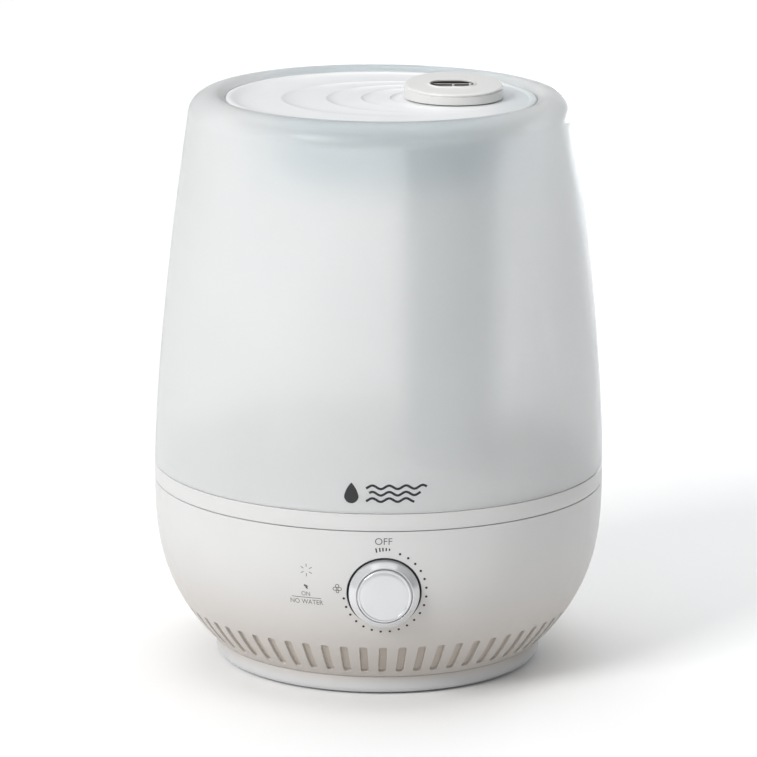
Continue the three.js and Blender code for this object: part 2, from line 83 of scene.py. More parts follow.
def length(name, description, default):
    return FloatProperty(name=name, description=description, default=default, unit="LENGTH", precision=4)


def colour(name, description, default):
    return FloatVectorProperty(name=name, description=description, default=default, subtype="COLOR", size=3,
                               min=0, max=1)


def share(name, description, default):
    return FloatProperty(name=name, description=description, default=default, subtype="FACTOR", min=0, max=1)


class HumidifierSizes(bpy.types.PropertyGroup):
    """Sizes of the shells and of what is on them."""

    rim_radius: length("Widest radius", "Radius where the tank meets the base", high("tank_base").x)
    bowl_fall: length("Bowl fall", "How much narrower the bowl is at its foot than at its crest", 28.5 * MM)
    bowl_crest: length("Bowl crest", "Height at which the bowl would stand vertical", 95.8 * MM)
    bowl_depth: length("Bowl depth", "Depth over which the bowl narrows by its fall", 85 * MM)
    shell_top: length("Base top", "Height of the base's upper edge", high("base_shell").z)
    shell_bottom: length("Base bottom", "Height of the base's lower edge", low("base_shell").z)
    shell_wall: length("Base wall", "Thickness of the base's wall", 1.4 * MM)

    vent_count: IntProperty(name="Vents", description="Number of air slots round the foot",
                            default=64, min=12)
    vent_width: length("Vent width", "Width of one air slot", 3.75 * MM)
    vent_low: length("Vent low end", "Height of the slots' lower ends", 13.1 * MM)
    vent_high: length("Vent high end", "Height of the slots' upper ends", 29.0 * MM)
    vent_corner: length("Vent corner", "Radius of the slots' corners", 1.45 * MM)

    band_bottom: length("Band bottom", "Lower edge of the tank's white band", 90.8 * MM)
    band_top: length("Band top", "Upper edge of the tank's white band", 99.0 * MM)
    tank_fall: length("Tank fall", "How much narrower the tank is after the tank run", 15.2 * MM)
    tank_run: length("Tank run", "Height over which the tank narrows by its fall", 162 * MM)
    tank_wall: length("Tank wall", "Thickness of the tank's wall", 2.4 * MM)
    shoulder_radius: length("Shoulder radius", "Radius of the crest of the tank's shoulder", 83 * MM)
    shoulder_rise: length("Shoulder rise", "Height of the tank's round shoulder", 11 * MM)
    mouth_radius: length("Mouth radius", "Radius of the opening that the lid lies in", 76.6 * MM)

    lid_radius: length("Lid radius", "Radius of the lid", 76 * MM)
    lid_step: length("Lid step", "How steeply the lid drops behind the edge of a terrace", 2.2 * MM)
    nozzle_x: length("Nozzle place", "How far the nozzle stands to the right", 35.5 * MM)
    nozzle_radius: length("Nozzle radius", "Radius of the nozzle's cap", 24.2 * MM)
    slot_length: length("Mist slot length", "Length of the mist slot", 21.6 * MM)
    slot_width: length("Mist slot width", "Width of the mist slot", 13.6 * MM)

    knob_height: length("Knob height", "Height of the knob's middle", 59.6 * MM)
    knob_radius: length("Knob radius", "Outer radius of the knob", 16.95 * MM)
    knob_hole: length("Knob hole", "Radius of the hole that the knob stands in", 18.0 * MM)
    dial_radius: length("Dial radius", "Half the width of the ring of dots round the knob", 19.85 * MM)
    dial_stretch: FloatProperty(name="Dial stretch", default=1.06,
                                description="Height of the ring of dots for a width of 1")
    dial_dots: IntProperty(name="Dots", description="Number of dots round the knob", default=20, min=2)
    dial_from: FloatProperty(name="First dot", description="Angle of the first dot, clockwise from the top",
                             default=math.radians(20.5), subtype="ANGLE")
    dial_to: FloatProperty(name="Last dot", description="Angle of the last dot, clockwise from the top",
                           default=math.radians(261.1), subtype="ANGLE")


class HumidifierColours(bpy.types.PropertyGroup):
    """Colours of the finishes."""

    shell: colour("Base", "Colour of the base and the band", (0.64, 0.636, 0.631))
    foot: colour("Foot", "Colour of the foot ring", (0.60, 0.602, 0.605))
    # Painted shade: the darker, warmer tone that the base and the foot ring are painted with low down.
    warm: colour("Warm tone", "Tone that the base takes on low down", (0.47, 0.42, 0.375))
    tank: colour("Tank", "Tint of the frosted tank", (0.965, 0.97, 0.97))
    lid: colour("Lid", "Colour of the lid", (0.82, 0.825, 0.83))
    nozzle: colour("Nozzle", "Colour of the nozzle's cap", (0.72, 0.72, 0.705))
    knob: colour("Knob", "Colour of the knob", (0.69, 0.695, 0.705))
    # Near-black; on the cup behind the knob it is also painted shade for the gap round the knob.
    dark: colour("Dark plastic", "Colour of the cup behind the knob and of the fan", (0.02, 0.02, 0.022))
    filter: colour("Air filter", "Colour of the gauze behind the air slots", (0.48, 0.435, 0.385))
    ink: colour("Dark ink", "Colour of the dots and the mark on the tank", (0.02, 0.02, 0.022))
    grey_ink: colour("Grey ink", "Colour of the words and signs", (0.14, 0.13, 0.12))
    rubber: colour("Rubber", "Colour of the feet and the cord's gland", (0.30, 0.30, 0.30))
    silicone: colour("Silicone", "Colour of the seals and floats", (0.74, 0.77, 0.76))
    floor: colour("Floor", "Colour of the studio's floor", (0.97, 0.965, 0.96))
    frosting: share("Frosting", "Share of the tank's wall that lets light through", 0.6)


# ---------------------------------------------------------------- paths and surfaces


def soft_path(corners, steps=5):
    """A closed path through corners of (across, along, fillet), as an array of points.

    At a corner with a fillet f the path turns off f * cot(half the angle between its sides) early and follows
    an arc of radius f about a middle on the bisector. A corner with no fillet is one point.
    """
    corners = np.asarray(corners, float)
    points, count = [], len(corners)
    for i, (x, y, fillet) in enumerate(corners):
        here = np.array([x, y])
        if fillet == 0:
            points.append(here[None])
            continue
        before = corners[i - 1, :2] - here
        after = corners[(i + 1) % count, :2] - here
        before, after = before / np.linalg.norm(before), after / np.linalg.norm(after)
        half = math.acos(np.clip(before @ after, -1, 1)) / 2
        middle = here + (before + after) / np.linalg.norm(before + after) * fillet / math.sin(half)
        start = here + before * fillet / math.tan(half) - middle
        end = here + after * fillet / math.tan(half) - middle
        sweep = math.pi - 2 * half
        t = np.linspace(0, 1, steps + 1)[:, None]
        points.append(middle + (np.sin((1 - t) * sweep) * start + np.sin(t * sweep) * end) / math.sin(sweep))
    return np.concatenate(points)


def elliptic_arc(across, along, half_across, half_along, start, end, steps):
    """Points of an ellipse about (across, along), from one angle in degrees to another, with no fillets."""
    angle = np.radians(np.linspace(start, end, steps + 1))
    return np.stack([across + half_across * np.cos(angle), along + half_along * np.sin(angle), 0 * angle], 1)


def graph(radius, start, end, steps):
    """Points (radius(z), z) at even steps of z, with no fillets."""
    z = np.linspace(start, end, steps + 1)
    return np.stack([radius(z), z, 0 * z], 1)


def turned(path, columns=192, middle=(0, 0)):
    """Carries a path of (radius, height) round a vertical axis: (radius sin a, -radius cos a) at angle a."""
    angle = np.arange(columns) / columns * FULL_TURN
    radius, height = path[:, :1], path[:, 1:2]
    x = middle[0] + radius * np.sin(angle)
    y = middle[1] - radius * np.cos(angle)
    return np.stack([x, y, height + 0 * x], 2)


def ease(t):
    """Goes from 0 to 1 as 3 t^2 - 2 t^3."""
    return t * t * (3 - 2 * t)


def facing_front(points, height):
    """Lays a shape that stands along +Z down so that it points to -Y, with its middle at a height."""
    return np.stack([points[..., 0], -points[..., 2], points[..., 1] + height], -1)


def rod(start, end, radius, columns=24):
    """A round rod between two points: circles square to its axis, closed by a point at each end."""
    start, end = np.array(start), np.array(end)
    axis = (end - start) / np.linalg.norm(end - start)
    side = np.cross(axis, (0.3, 0.5, 0.8))
    side /= np.linalg.norm(side)
    angle = (np.arange(columns) / columns * FULL_TURN)[:, None]
    circle = radius * (np.cos(angle) * side + np.sin(angle) * np.cross(axis, side))
    return np.stack([start + 0 * circle, start + circle, end + circle, end + 0 * circle])


def grid_faces(rows, columns, wrap_rows, wrap_columns=True):
    """Quads between neighbouring rows and columns of a grid, as an array of four indices each."""
    i = np.arange(rows if wrap_rows else rows - 1)[:, None]
    j = np.arange(columns if wrap_columns else columns - 1)[None]
    up, along = (i + 1) % rows, (j + 1) % columns
    return np.stack([i * columns + j, i * columns + along, up * columns + along, up * columns + j], 2)


def mesh_of(name, points, faces, sharp=CRISP):
    """A mesh from points and an array of faces with repeated corners dropped; a closed one faces outwards."""
    points = points.reshape(-1, 3)
    faces = faces.reshape(-1, faces.shape[-1])
    _, first, same = np.unique(np.round(points, 7), axis=0, return_index=True, return_inverse=True)
    faces = same.reshape(-1)[faces]
    corners = points[first]
    loops = [tuple(dict.fromkeys(face)) for face in faces.tolist()]
    mesh = bpy.data.meshes.new(name)
    mesh.from_pydata(corners.tolist(), [], [loop for loop in loops if len(loop) > 2])
    triangles = corners[faces[:, :3]]
    rest = corners[faces[:, [0, 2, 3]]] if faces.shape[1] == 4 else np.zeros((0, 3, 3))
    volume = sum(np.einsum("ij,ij->", np.cross(t[:, 0], t[:, 1]), t[:, 2]) for t in (triangles, rest))
    if volume < 0:
        mesh.flip_normals()
    mesh.polygons.foreach_set("use_smooth", np.ones(len(mesh.polygons), bool))
    mesh.set_sharp_from_angle(angle=sharp)
    mesh.update()
    return mesh


def surface(name, points, closed=True, sharp=CRISP):
    """A mesh over a grid of points whose columns run round; its rows run round too if it is closed."""
    return mesh_of(name, points, grid_faces(points.shape[0], points.shape[1], closed), sharp)


def piece(mesh, body, material, slot, *nodes):
    """Puts a mesh in the scene as a piece that rides on a body, in a finish, and stands for CAD nodes."""
    thing = bpy.data.objects.new(mesh.name, mesh)
    bpy.context.scene.collection.objects.link(thing)
    mesh.materials.append(material)
    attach(thing, body)
    if nodes:
        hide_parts(*nodes)
    return thing


def lathed(name, corners, body, material, slot, *nodes, columns=192, middle=(0, 0), steps=5):
    """A piece of revolution about a vertical axis, from corners of (radius, height, fillet) in metres."""
    mesh = surface(name, turned(soft_path(corners, steps), columns, middle))
    return piece(mesh, body, material, slot, *nodes)


def thicken(thing, thickness):
    """Gives an open surface a wall on its inner side."""
    wall = thing.modifiers.new("wall", "SOLIDIFY")
    wall.thickness = thickness
    wall.offset = -1
    wall.use_even_offset = True


def soften_edges(thing, width):
    """Rounds the edges of a piece that are sharper than 50 degrees."""
    bevel = thing.modifiers.new("edges", "BEVEL")
    bevel.width = width
    bevel.segments = 2
    bevel.limit_method = "ANGLE"
    bevel.angle_limit = math.radians(50)
    bevel.harden_normals = True


# ---------------------------------------------------------------- outlines of the two shells


def bowl_radius(z):
    """The bowl narrows with the cube of the depth below its crest."""
    sizes = bpy.context.scene.humidifier_sizes
    return sizes.rim_radius - sizes.bowl_fall * ((sizes.bowl_crest - z) / sizes.bowl_depth) ** 3


def tank_radius(z):
    """The tank's side narrows with the power 3/2 of the height above its band."""
    sizes = bpy.context.scene.humidifier_sizes
    return sizes.rim_radius - sizes.tank_fall * (np.maximum(0, z - sizes.band_top) / sizes.tank_run) ** 1.5


def wrapped(flat, radius, lift=0.03 * MM, turn=0.0):
    """Wraps flat points (across, height) round the shell of that radius(height), turned from the front."""
    across, height = flat[..., 0], flat[..., 1]
    around = turn + across / radius(height)
    out = radius(height) + lift
    return np.stack([out * np.sin(around), -out * np.cos(around), height], -1)


# ---------------------------------------------------------------- finishes


class Finish:
    """One node material: a Principled shader whose colour, roughness and bump follow Object coordinates."""

    def __init__(self, name, colour, roughness, metallic=0.0):
        self.material = bpy.data.materials.new(name)
        self.material.use_nodes = True
        self.nodes = self.material.node_tree.nodes
        self.links = self.material.node_tree.links
        self.shader = self.nodes["Principled BSDF"]
        self.colour = colour
        self.set("Base Color", (*colour, 1))
        self.set("Roughness", roughness)
        self.set("Metallic", metallic)
        self.where = self.add("ShaderNodeTexCoord").outputs["Object"]
        self.height = None

    def set(self, socket, value):
        self.shader.inputs[socket].default_value = value
        return self

    def add(self, kind, **settings):
        node = self.nodes.new(kind)
        for key, value in settings.items():
            setattr(node, key, value)
        return node

    def noise(self, size, detail=3.0, stretch=(1, 1, 1)):
        """A noise between 0 and 1 whose patches are about size across, longer where stretch is small."""
        mapping = self.add("ShaderNodeMapping")
        mapping.inputs["Scale"].default_value = stretch
        self.links.new(self.where, mapping.inputs["Vector"])
        noise = self.add("ShaderNodeTexNoise")
        noise.inputs["Scale"].default_value = 1 / size
        noise.inputs["Detail"].default_value = detail
        self.links.new(mapping.outputs["Vector"], noise.inputs["Vector"])
        return noise.outputs["Fac"]

    def ramp(self, value, start, end, low_value=0.0, high_value=1.0):
        """Eases from the low to the high value while the input goes from start to end."""
        scale = self.add("ShaderNodeMapRange", interpolation_type="SMOOTHSTEP")
        numbers = {"From Min": start, "From Max": end, "To Min": low_value, "To Max": high_value}
        for socket, number in numbers.items():
            scale.inputs[socket].default_value = number
        self.links.new(value, scale.inputs["Value"])
        return scale.outputs["Result"]

    def product(self, first, second):
        """Multiplies two factors."""
        node = self.add("ShaderNodeMath", operation="MULTIPLY")
        self.links.new(first, node.inputs[0])
        self.links.new(second, node.inputs[1])
        return node.outputs[0]

    def axis(self, name):
        """One coordinate, X, Y or Z, in metres."""
        split = self.add("ShaderNodeSeparateXYZ")
        self.links.new(self.where, split.inputs["Vector"])
        return split.outputs[name]

    def tint(self, factor, other):
        """Mixes the base colour towards another, by a factor that varies over the surface."""
        mix = self.add("ShaderNodeMix", data_type="RGBA")
        inputs = [socket for socket in mix.inputs if socket.type == "RGBA"]
        result = next(socket for socket in mix.outputs if socket.type == "RGBA")
        base = self.shader.inputs["Base Color"]
        if base.is_linked:
            self.links.new(base.links[0].from_socket, inputs[0])
        else:
            inputs[0].default_value = (*self.colour, 1)
        inputs[1].default_value = (*other, 1)
        self.links.new(factor, mix.inputs["Factor"])
        self.links.new(result, base)
        return self

    def roughen(self, value, low_value, high_value):
        """Lets the roughness follow a value."""
        self.links.new(self.ramp(value, 0.3, 0.7, low_value, high_value), self.shader.inputs["Roughness"])
        return self

    def bump(self, value, depth):
        """Raises the surface by depth metres where value is 1; each bump is laid over the last."""
        bump = self.add("ShaderNodeBump")
        bump.inputs["Distance"].default_value = depth
        self.links.new(value, bump.inputs["Height"])
        if self.height is not None:
            self.links.new(self.height, bump.inputs["Normal"])
        self.height = bump.outputs["Normal"]
        self.links.new(self.height, self.shader.inputs["Normal"])
        return self


def darker(colour, share):
    """A colour with each channel at a share of its value."""
    return tuple(channel * share for channel in colour)


def moulded_plastic(name, colour, roughness, grain=0.35 * MM, texture=0.012 * MM):
    """Moulded plastic: faint clouding from the melt, a fine spark-eroded grain and an uneven sheen."""
    finish = Finish(name, colour, roughness)
    clouds = finish.noise(30 * MM, 2)
    finish.tint(finish.ramp(clouds, 0.35, 0.75, 0, 0.5), darker(colour, 0.965))
    finish.roughen(finish.noise(6 * MM, 3), roughness - 0.04, roughness + 0.05)
    finish.bump(finish.noise(grain, 2), texture)
    return finish


class Finishes:
    """The finishes, made once and kept by name."""

    made = {}

    @classmethod
    def get(cls, name):
        if name not in cls.made:
            cls.made[name] = getattr(cls, name)(bpy.context.scene.humidifier_colours).material
        return cls.made[name]

    @staticmethod
    def white_shell(colours):
        """Satin white with painted shade: darker and warmer towards the foot."""
        finish = moulded_plastic("white_shell", tuple(colours.shell), 0.38)
        # Painted shade: the base darkens and warms from 78 mm down to 12 mm.
        painted_shade_low_down = finish.ramp(finish.axis("Z"), 78 * MM, 12 * MM, 0, 0.72)
        return finish.tint(painted_shade_low_down, tuple(colours.warm)).set("Specular IOR Level", 0.3)

    @staticmethod
    def white_foot(colours):
        """The foot ring's white, with painted shade: it takes on the base's darker, warmer painted shade
        towards the seam between them.
        """
        finish = moulded_plastic("white_foot", tuple(colours.foot), 0.4)
        # Painted shade: the foot darkens and warms from 4 mm up to 10 mm, next to the bowl.
        painted_shade_near_bowl = finish.ramp(finish.axis("Z"), 4 * MM, 10 * MM, 0, 0.62)
        return finish.tint(painted_shade_near_bowl, tuple(colours.warm)).set("Specular IOR Level", 0.35)

    @staticmethod
    def white_lid(colours):
        """Satin white with painted shade: cooler and darker towards the thin right end, beyond the nozzle."""
        finish = moulded_plastic("white_lid", tuple(colours.lid), 0.32)
        # Painted shade: the lid cools and darkens from 40 mm to 72 mm to the right.
        return finish.tint(finish.ramp(finish.axis("X"), 40 * MM, 72 * MM, 0, 0.6), (0.56, 0.62, 0.64))

    @staticmethod
    def white_nozzle(colours):
        return moulded_plastic("white_nozzle", tuple(colours.nozzle), 0.36)

    @staticmethod
    def white_inner(colours):
        return moulded_plastic("white_inner", darker(colours.lid, 0.98), 0.45)

    @staticmethod
    def frosted(colours):
        """Frosted clear plastic with fine pitting, and painted shade: cooler and darker at the top, where it
        stands in for the lid's skirt seen through the wall.
        """
        finish = Finish("frosted", tuple(colours.tank), 0.32)
        finish.tint(finish.ramp(finish.noise(45 * MM, 2), 0.35, 0.75, 0, 0.5), darker(colours.tank, 0.97))
        # Painted shade: a cool, darker band near the top, fading out at the left and right ends.
        painted_skirt_shade = finish.ramp(finish.axis("Z"), 238 * MM, 268 * MM, 0, 0.55)
        left_end = finish.ramp(finish.axis("X"), -78 * MM, -30 * MM)
        right_end = finish.ramp(finish.axis("X"), 82 * MM, 30 * MM)
        painted_skirt_shade = finish.product(painted_skirt_shade, finish.product(left_end, right_end))
        finish.tint(painted_skirt_shade, (0.64, 0.73, 0.76))
        finish.bump(finish.noise(0.5 * MM, 2), 0.01 * MM)
        return finish.set("Transmission Weight", colours.frosting).set("IOR", 1.3)

    @staticmethod
    def frosted_tube(colours):
        # The tube is real, but its dark blue-grey is painted shade for the darker column it makes behind the
        # frosted tank.
        finish = Finish("frosted_tube", (0.21, 0.34, 0.40), 0.4)
        finish.bump(finish.noise(0.5 * MM, 2), 0.01 * MM)
        return finish.set("Transmission Weight", 0.25)

    @staticmethod
    def knob_gloss(colours):
        """Pale satin plating: part mirror, with the faintest clouding and polishing marks."""
        finish = Finish("knob_gloss", tuple(colours.knob), 0.2, 0.45)
        clouds = finish.noise(8 * MM, 2)
        finish.tint(finish.ramp(clouds, 0.35, 0.75, 0, 0.4), darker(colours.knob, 0.975))
        finish.roughen(clouds, 0.19, 0.22)
        return finish.bump(finish.noise(0.6 * MM, 2), 0.003 * MM)

    @staticmethod
    def dark_plastic(colours):
        return moulded_plastic("dark_plastic", tuple(colours.dark), 0.55)

    @staticmethod
    def grey_plastic(colours):
        # Near-black grey; on the nozzle's sleeve it is painted shade for the unlit inside of the nozzle.
        return moulded_plastic("grey_plastic", (0.10, 0.095, 0.09), 0.5)

    @staticmethod
    def bar_plastic(colours):
        return moulded_plastic("bar_plastic", (0.36, 0.34, 0.325), 0.45)

    @staticmethod
    def filter(colours):
        """Fine gauze: two crossed sets of threads, round and up the cone."""
        finish = Finish("filter", tuple(colours.filter), 0.9)
        threads = finish.add("ShaderNodeTexWave", bands_direction="Z")
        threads.inputs["Scale"].default_value = 260
        finish.links.new(finish.where, threads.inputs["Vector"])
        finish.tint(finish.ramp(threads.outputs["Fac"], 0.2, 0.8, 0, 0.3), darker(colours.filter, 0.85))
        return finish.bump(threads.outputs["Fac"], 0.03 * MM)

    @staticmethod
    def ink(colours):
        return moulded_plastic("ink", tuple(colours.ink), 0.5, 0.2 * MM, 0.003 * MM)

    @staticmethod
    def grey_ink(colours):
        return moulded_plastic("grey_ink", tuple(colours.grey_ink), 0.5, 0.2 * MM, 0.003 * MM)

    @staticmethod
    def rubber(colours):
        finish = Finish("rubber", tuple(colours.rubber), 0.85)
        finish.tint(finish.ramp(finish.noise(3 * MM, 4), 0.4, 0.7, 0, 0.6), darker(colours.rubber, 0.7))
        return finish.bump(finish.noise(0.4 * MM, 4), 0.05 * MM)

    @staticmethod
    def silicone(colours):
        finish = Finish("silicone", tuple(colours.silicone), 0.55)
        finish.tint(finish.ramp(finish.noise(5 * MM, 3), 0.4, 0.7, 0, 0.5), darker(colours.silicone, 0.9))
        finish.bump(finish.noise(0.5 * MM, 3), 0.02 * MM)
        return finish.set("Subsurface Weight", 0.15).set("Subsurface Scale", 0.002)

    @staticmethod
    def steel(colours):
        """Zinc-plated steel with fine drawn lines along Z."""
        finish = Finish("steel", (0.62, 0.62, 0.63), 0.32, 1.0)
        lines = finish.noise(0.5 * MM, 3, (1, 1, 0.05))
        finish.tint(finish.ramp(lines, 0.3, 0.7, 0, 0.5), (0.48, 0.48, 0.5))
        return finish.roughen(lines, 0.25, 0.42).bump(lines, 0.01 * MM)

    @staticmethod
    def aluminium(colours):
        finish = Finish("aluminium", (0.72, 0.73, 0.74), 0.38, 1.0)
        lines = finish.noise(0.6 * MM, 3, (0.05, 1, 1))
        finish.tint(finish.ramp(lines, 0.3, 0.7, 0, 0.5), (0.6, 0.61, 0.63))
        return finish.roughen(lines, 0.3, 0.48)

    @staticmethod
    def ceramic(colours):
        """Silvered piezo ceramic with a few water stains."""
        finish = Finish("ceramic", (0.62, 0.58, 0.48), 0.3, 0.7)
        finish.tint(finish.ramp(finish.noise(4 * MM, 4), 0.5, 0.62, 0, 0.7), (0.42, 0.36, 0.27))
        return finish.bump(finish.noise(1 * MM, 4), 0.01 * MM)

    @staticmethod
    def board(colours):
        """Green solder mask with the faint relief of its tracks."""
        finish = Finish("board", (0.02, 0.16, 0.08), 0.35)
        tracks = finish.add("ShaderNodeTexVoronoi", feature="DISTANCE_TO_EDGE", distance="MANHATTAN")
        tracks.inputs["Scale"].default_value = 260
        finish.links.new(finish.where, tracks.inputs["Vector"])
        lines = finish.ramp(tracks.outputs["Distance"], 0.04, 0.12, 1, 0)
        return finish.tint(lines, (0.05, 0.3, 0.14)).bump(lines, 0.03 * MM)

    @staticmethod
    def copper(colours):
        """Enamelled windings: fine turns one above the other."""
        finish = Finish("copper", (0.55, 0.24, 0.1), 0.3, 0.8)
        turns = finish.add("ShaderNodeTexWave", bands_direction="Z")
        turns.inputs["Scale"].default_value = 500
        finish.links.new(finish.where, turns.inputs["Vector"])
        finish.tint(finish.ramp(turns.outputs["Fac"], 0.1, 0.5, 1, 0), (0.22, 0.08, 0.03))
        return finish.bump(turns.outputs["Fac"], 0.1 * MM)

    @staticmethod
    def lens(colours):
        finish = Finish("lens", (0.1, 0.1, 0.11), 0.12)
        finish.tint(finish.ramp(finish.noise(0.6 * MM, 2), 0.4, 0.7, 0, 0.5), (0.03, 0.03, 0.035))
        return finish.set("Coat Weight", 0.6)


# ---------------------------------------------------------------- operators: the base


class HUMIDIFIER_OT_bowl(bpy.types.Operator):
    """Build the base's bowl, with its ring of air slots and the knob's hole"""

    bl_idname = "humidifier.bowl"
    bl_label = "Bowl"

    per_vent = 8  # columns for each air slot
    hole_cells = 12  # columns and rows from the knob's middle to its hole
    blend_cells = 20  # ... and to where the grid is square again
    part_of_corner = 0.32  # where the row and the column inside a slot's corner lie

    def columns_across_vent(self, sizes):
        """Distances from a slot's middle line to the columns over it: edges, corners and middle."""
        half, corner = sizes.vent_width / 2, sizes.vent_corner
        edge = np.array([half, half - self.part_of_corner * corner, half - corner])
        return np.concatenate([-edge, [0], edge[::-1]])

    def rows(self, sizes, cell):
        """Heights of the rows: the foot, the slots, the square cells round the knob, and the rim."""
        corner = sizes.vent_corner / SLOT_SLANT
        edge = np.array([0, self.part_of_corner * corner, corner])
        span = sizes.vent_high - sizes.vent_low
        vents = sizes.vent_low + np.concatenate([edge, np.linspace(0.25, 0.75, 3) * span, span - edge[::-1]])
        knob = sizes.knob_height + np.arange(-self.blend_cells, self.blend_cells + 1) * cell
        foot = np.array([0.7, 1.6, 2.7]) * MM + sizes.shell_bottom
        rim = sizes.shell_top - np.array([1.6, 0.8, 0.35]) * MM
        return np.concatenate([foot, vents, [vents[-1] + 1.1 * MM], knob, rim]), len(foot), len(vents)

    def round_corners(self, across, along, sizes):
        """Draws the square corners of a slot in to arcs: a point keeps its direction from the arc's middle,
        and its distance becomes the larger of its two offsets. At the upper end it goes half of that way."""
        half, corner = sizes.vent_width / 2, sizes.vent_corner
        middle = (sizes.vent_low + sizes.vent_high) / 2
        reach = (sizes.vent_high - sizes.vent_low) / 2 * SLOT_SLANT
        p = np.abs(across) - (half - corner)
        q = np.abs(along - middle) * SLOT_SLANT - (reach - corner)
        inside = (p > 0) & (q > 0) & (p <= corner * 1.001) & (q <= corner * 1.001)
        scale = np.where(inside, np.maximum(p, q) / np.maximum(np.hypot(p, q), 1e-9), 1)
        scale = np.where(along > middle, 0.5 + 0.5 * scale, scale)
        new_across = np.sign(across) * (half - corner + p * scale)
        new_along = middle + np.sign(along - middle) * (reach - corner + q * scale) / SLOT_SLANT
        return np.where(inside, new_across, across), np.where(inside, new_along, along)

    def execute(self, context):
        sizes = context.scene.humidifier_sizes
        columns = sizes.vent_count * self.per_vent
        number = np.arange(columns)
        even = (number - self.per_vent // 2) / columns * FULL_TURN
        knob_r = float(bowl_radius(sizes.knob_height))
        cell = knob_r * FULL_TURN / columns
        height, first_vent, vent_rows = self.rows(sizes, cell)
        z = np.repeat(height[:, None], columns, 1)

        # Columns follow the slots' edges low down, and are even from a little above the slots.
        offsets = np.concatenate([[0], self.columns_across_vent(sizes)])[number % self.per_vent]
        vent_middle = ((number // self.per_vent) / sizes.vent_count) * FULL_TURN
        edge_column = number % self.per_vent == 0
        across, z = self.round_corners(np.repeat(offsets[None], len(height), 0), z, sizes)
        fitted = np.where(edge_column, even, vent_middle + across / bowl_radius(z))
        above = np.clip((z - sizes.vent_high - 1 * MM) / (6 * MM), 0, 1)
        around = fitted + (even - fitted) * ease(above)

        # Round the knob, squares of cells become circles: the hole's square becomes the hole.
        turn = (around + math.pi) % FULL_TURN - math.pi
        u, v = turn * knob_r, z - sizes.knob_height
        square = np.maximum(np.abs(u), np.abs(v))
        hole, blend = self.hole_cells * cell, self.blend_cells * cell
        t = ease(np.clip((square - hole) / (blend - hole), 0, 1))
        circle = sizes.knob_hole * square / hole / np.maximum(np.hypot(u, v), 1e-9)
        near = square < blend
        x = bowl_radius(z) * np.sin(around)
        new_x = np.where(near, (1 - t) * u * circle + t * x, x)
        new_z = np.where(near, sizes.knob_height + (1 - t) * v * circle + t * v, z)
        radius = bowl_radius(new_z)
        new_y = np.where(near, -np.sqrt(np.maximum(radius**2 - new_x**2, 0)), -radius * np.cos(around))
        points = np.stack([new_x, new_y, new_z], 2)

        # The foot turns in under the bowl and the rim turns in at the top.
        def ring(radius, height):
            return np.stack([radius * np.sin(even), -radius * np.cos(even), height + 0 * even], 1)[None]

        foot_r, rim_r = float(bowl_radius(sizes.shell_bottom)), float(bowl_radius(sizes.shell_top))
        top = [ring(rim_r - 0.1 * MM, sizes.shell_top - 0.1 * MM), ring(rim_r - 0.35 * MM, sizes.shell_top),
               ring(rim_r - sizes.shell_wall - 0.8 * MM, sizes.shell_top)]
        foot = [ring(foot_r - 4.6 * MM, sizes.shell_bottom), ring(foot_r - 0.5 * MM, sizes.shell_bottom),
                ring(foot_r - 0.05 * MM, sizes.shell_bottom + 0.2 * MM)]
        points = np.concatenate([*foot, points, *top])

        faces = grid_faces(*points.shape[:2], False)
        row, column = np.indices(faces.shape[:2])
        row = row - len(foot)
        in_vent = (row >= first_vent) & (row < first_vent + vent_rows - 1)
        in_vent &= (column % self.per_vent >= 1) & (column % self.per_vent <= self.per_vent - 2)
        middle_row = first_vent + vent_rows + 1 + self.blend_cells
        from_middle = (column - self.per_vent // 2 + columns // 2) % columns - columns // 2
        in_hole = (np.abs(row - middle_row + 0.5) < self.hole_cells)
        in_hole &= np.abs(from_middle + 0.5) < self.hole_cells
        mesh = mesh_of("bowl", points, faces[~(in_vent | in_hole)])
        bowl = piece(mesh, "base", Finishes.get("white_shell"), "white_shell", "base_shell")
        thicken(bowl, sizes.shell_wall)
        soften_edges(bowl, 0.38 * MM)
        return {"FINISHED"}


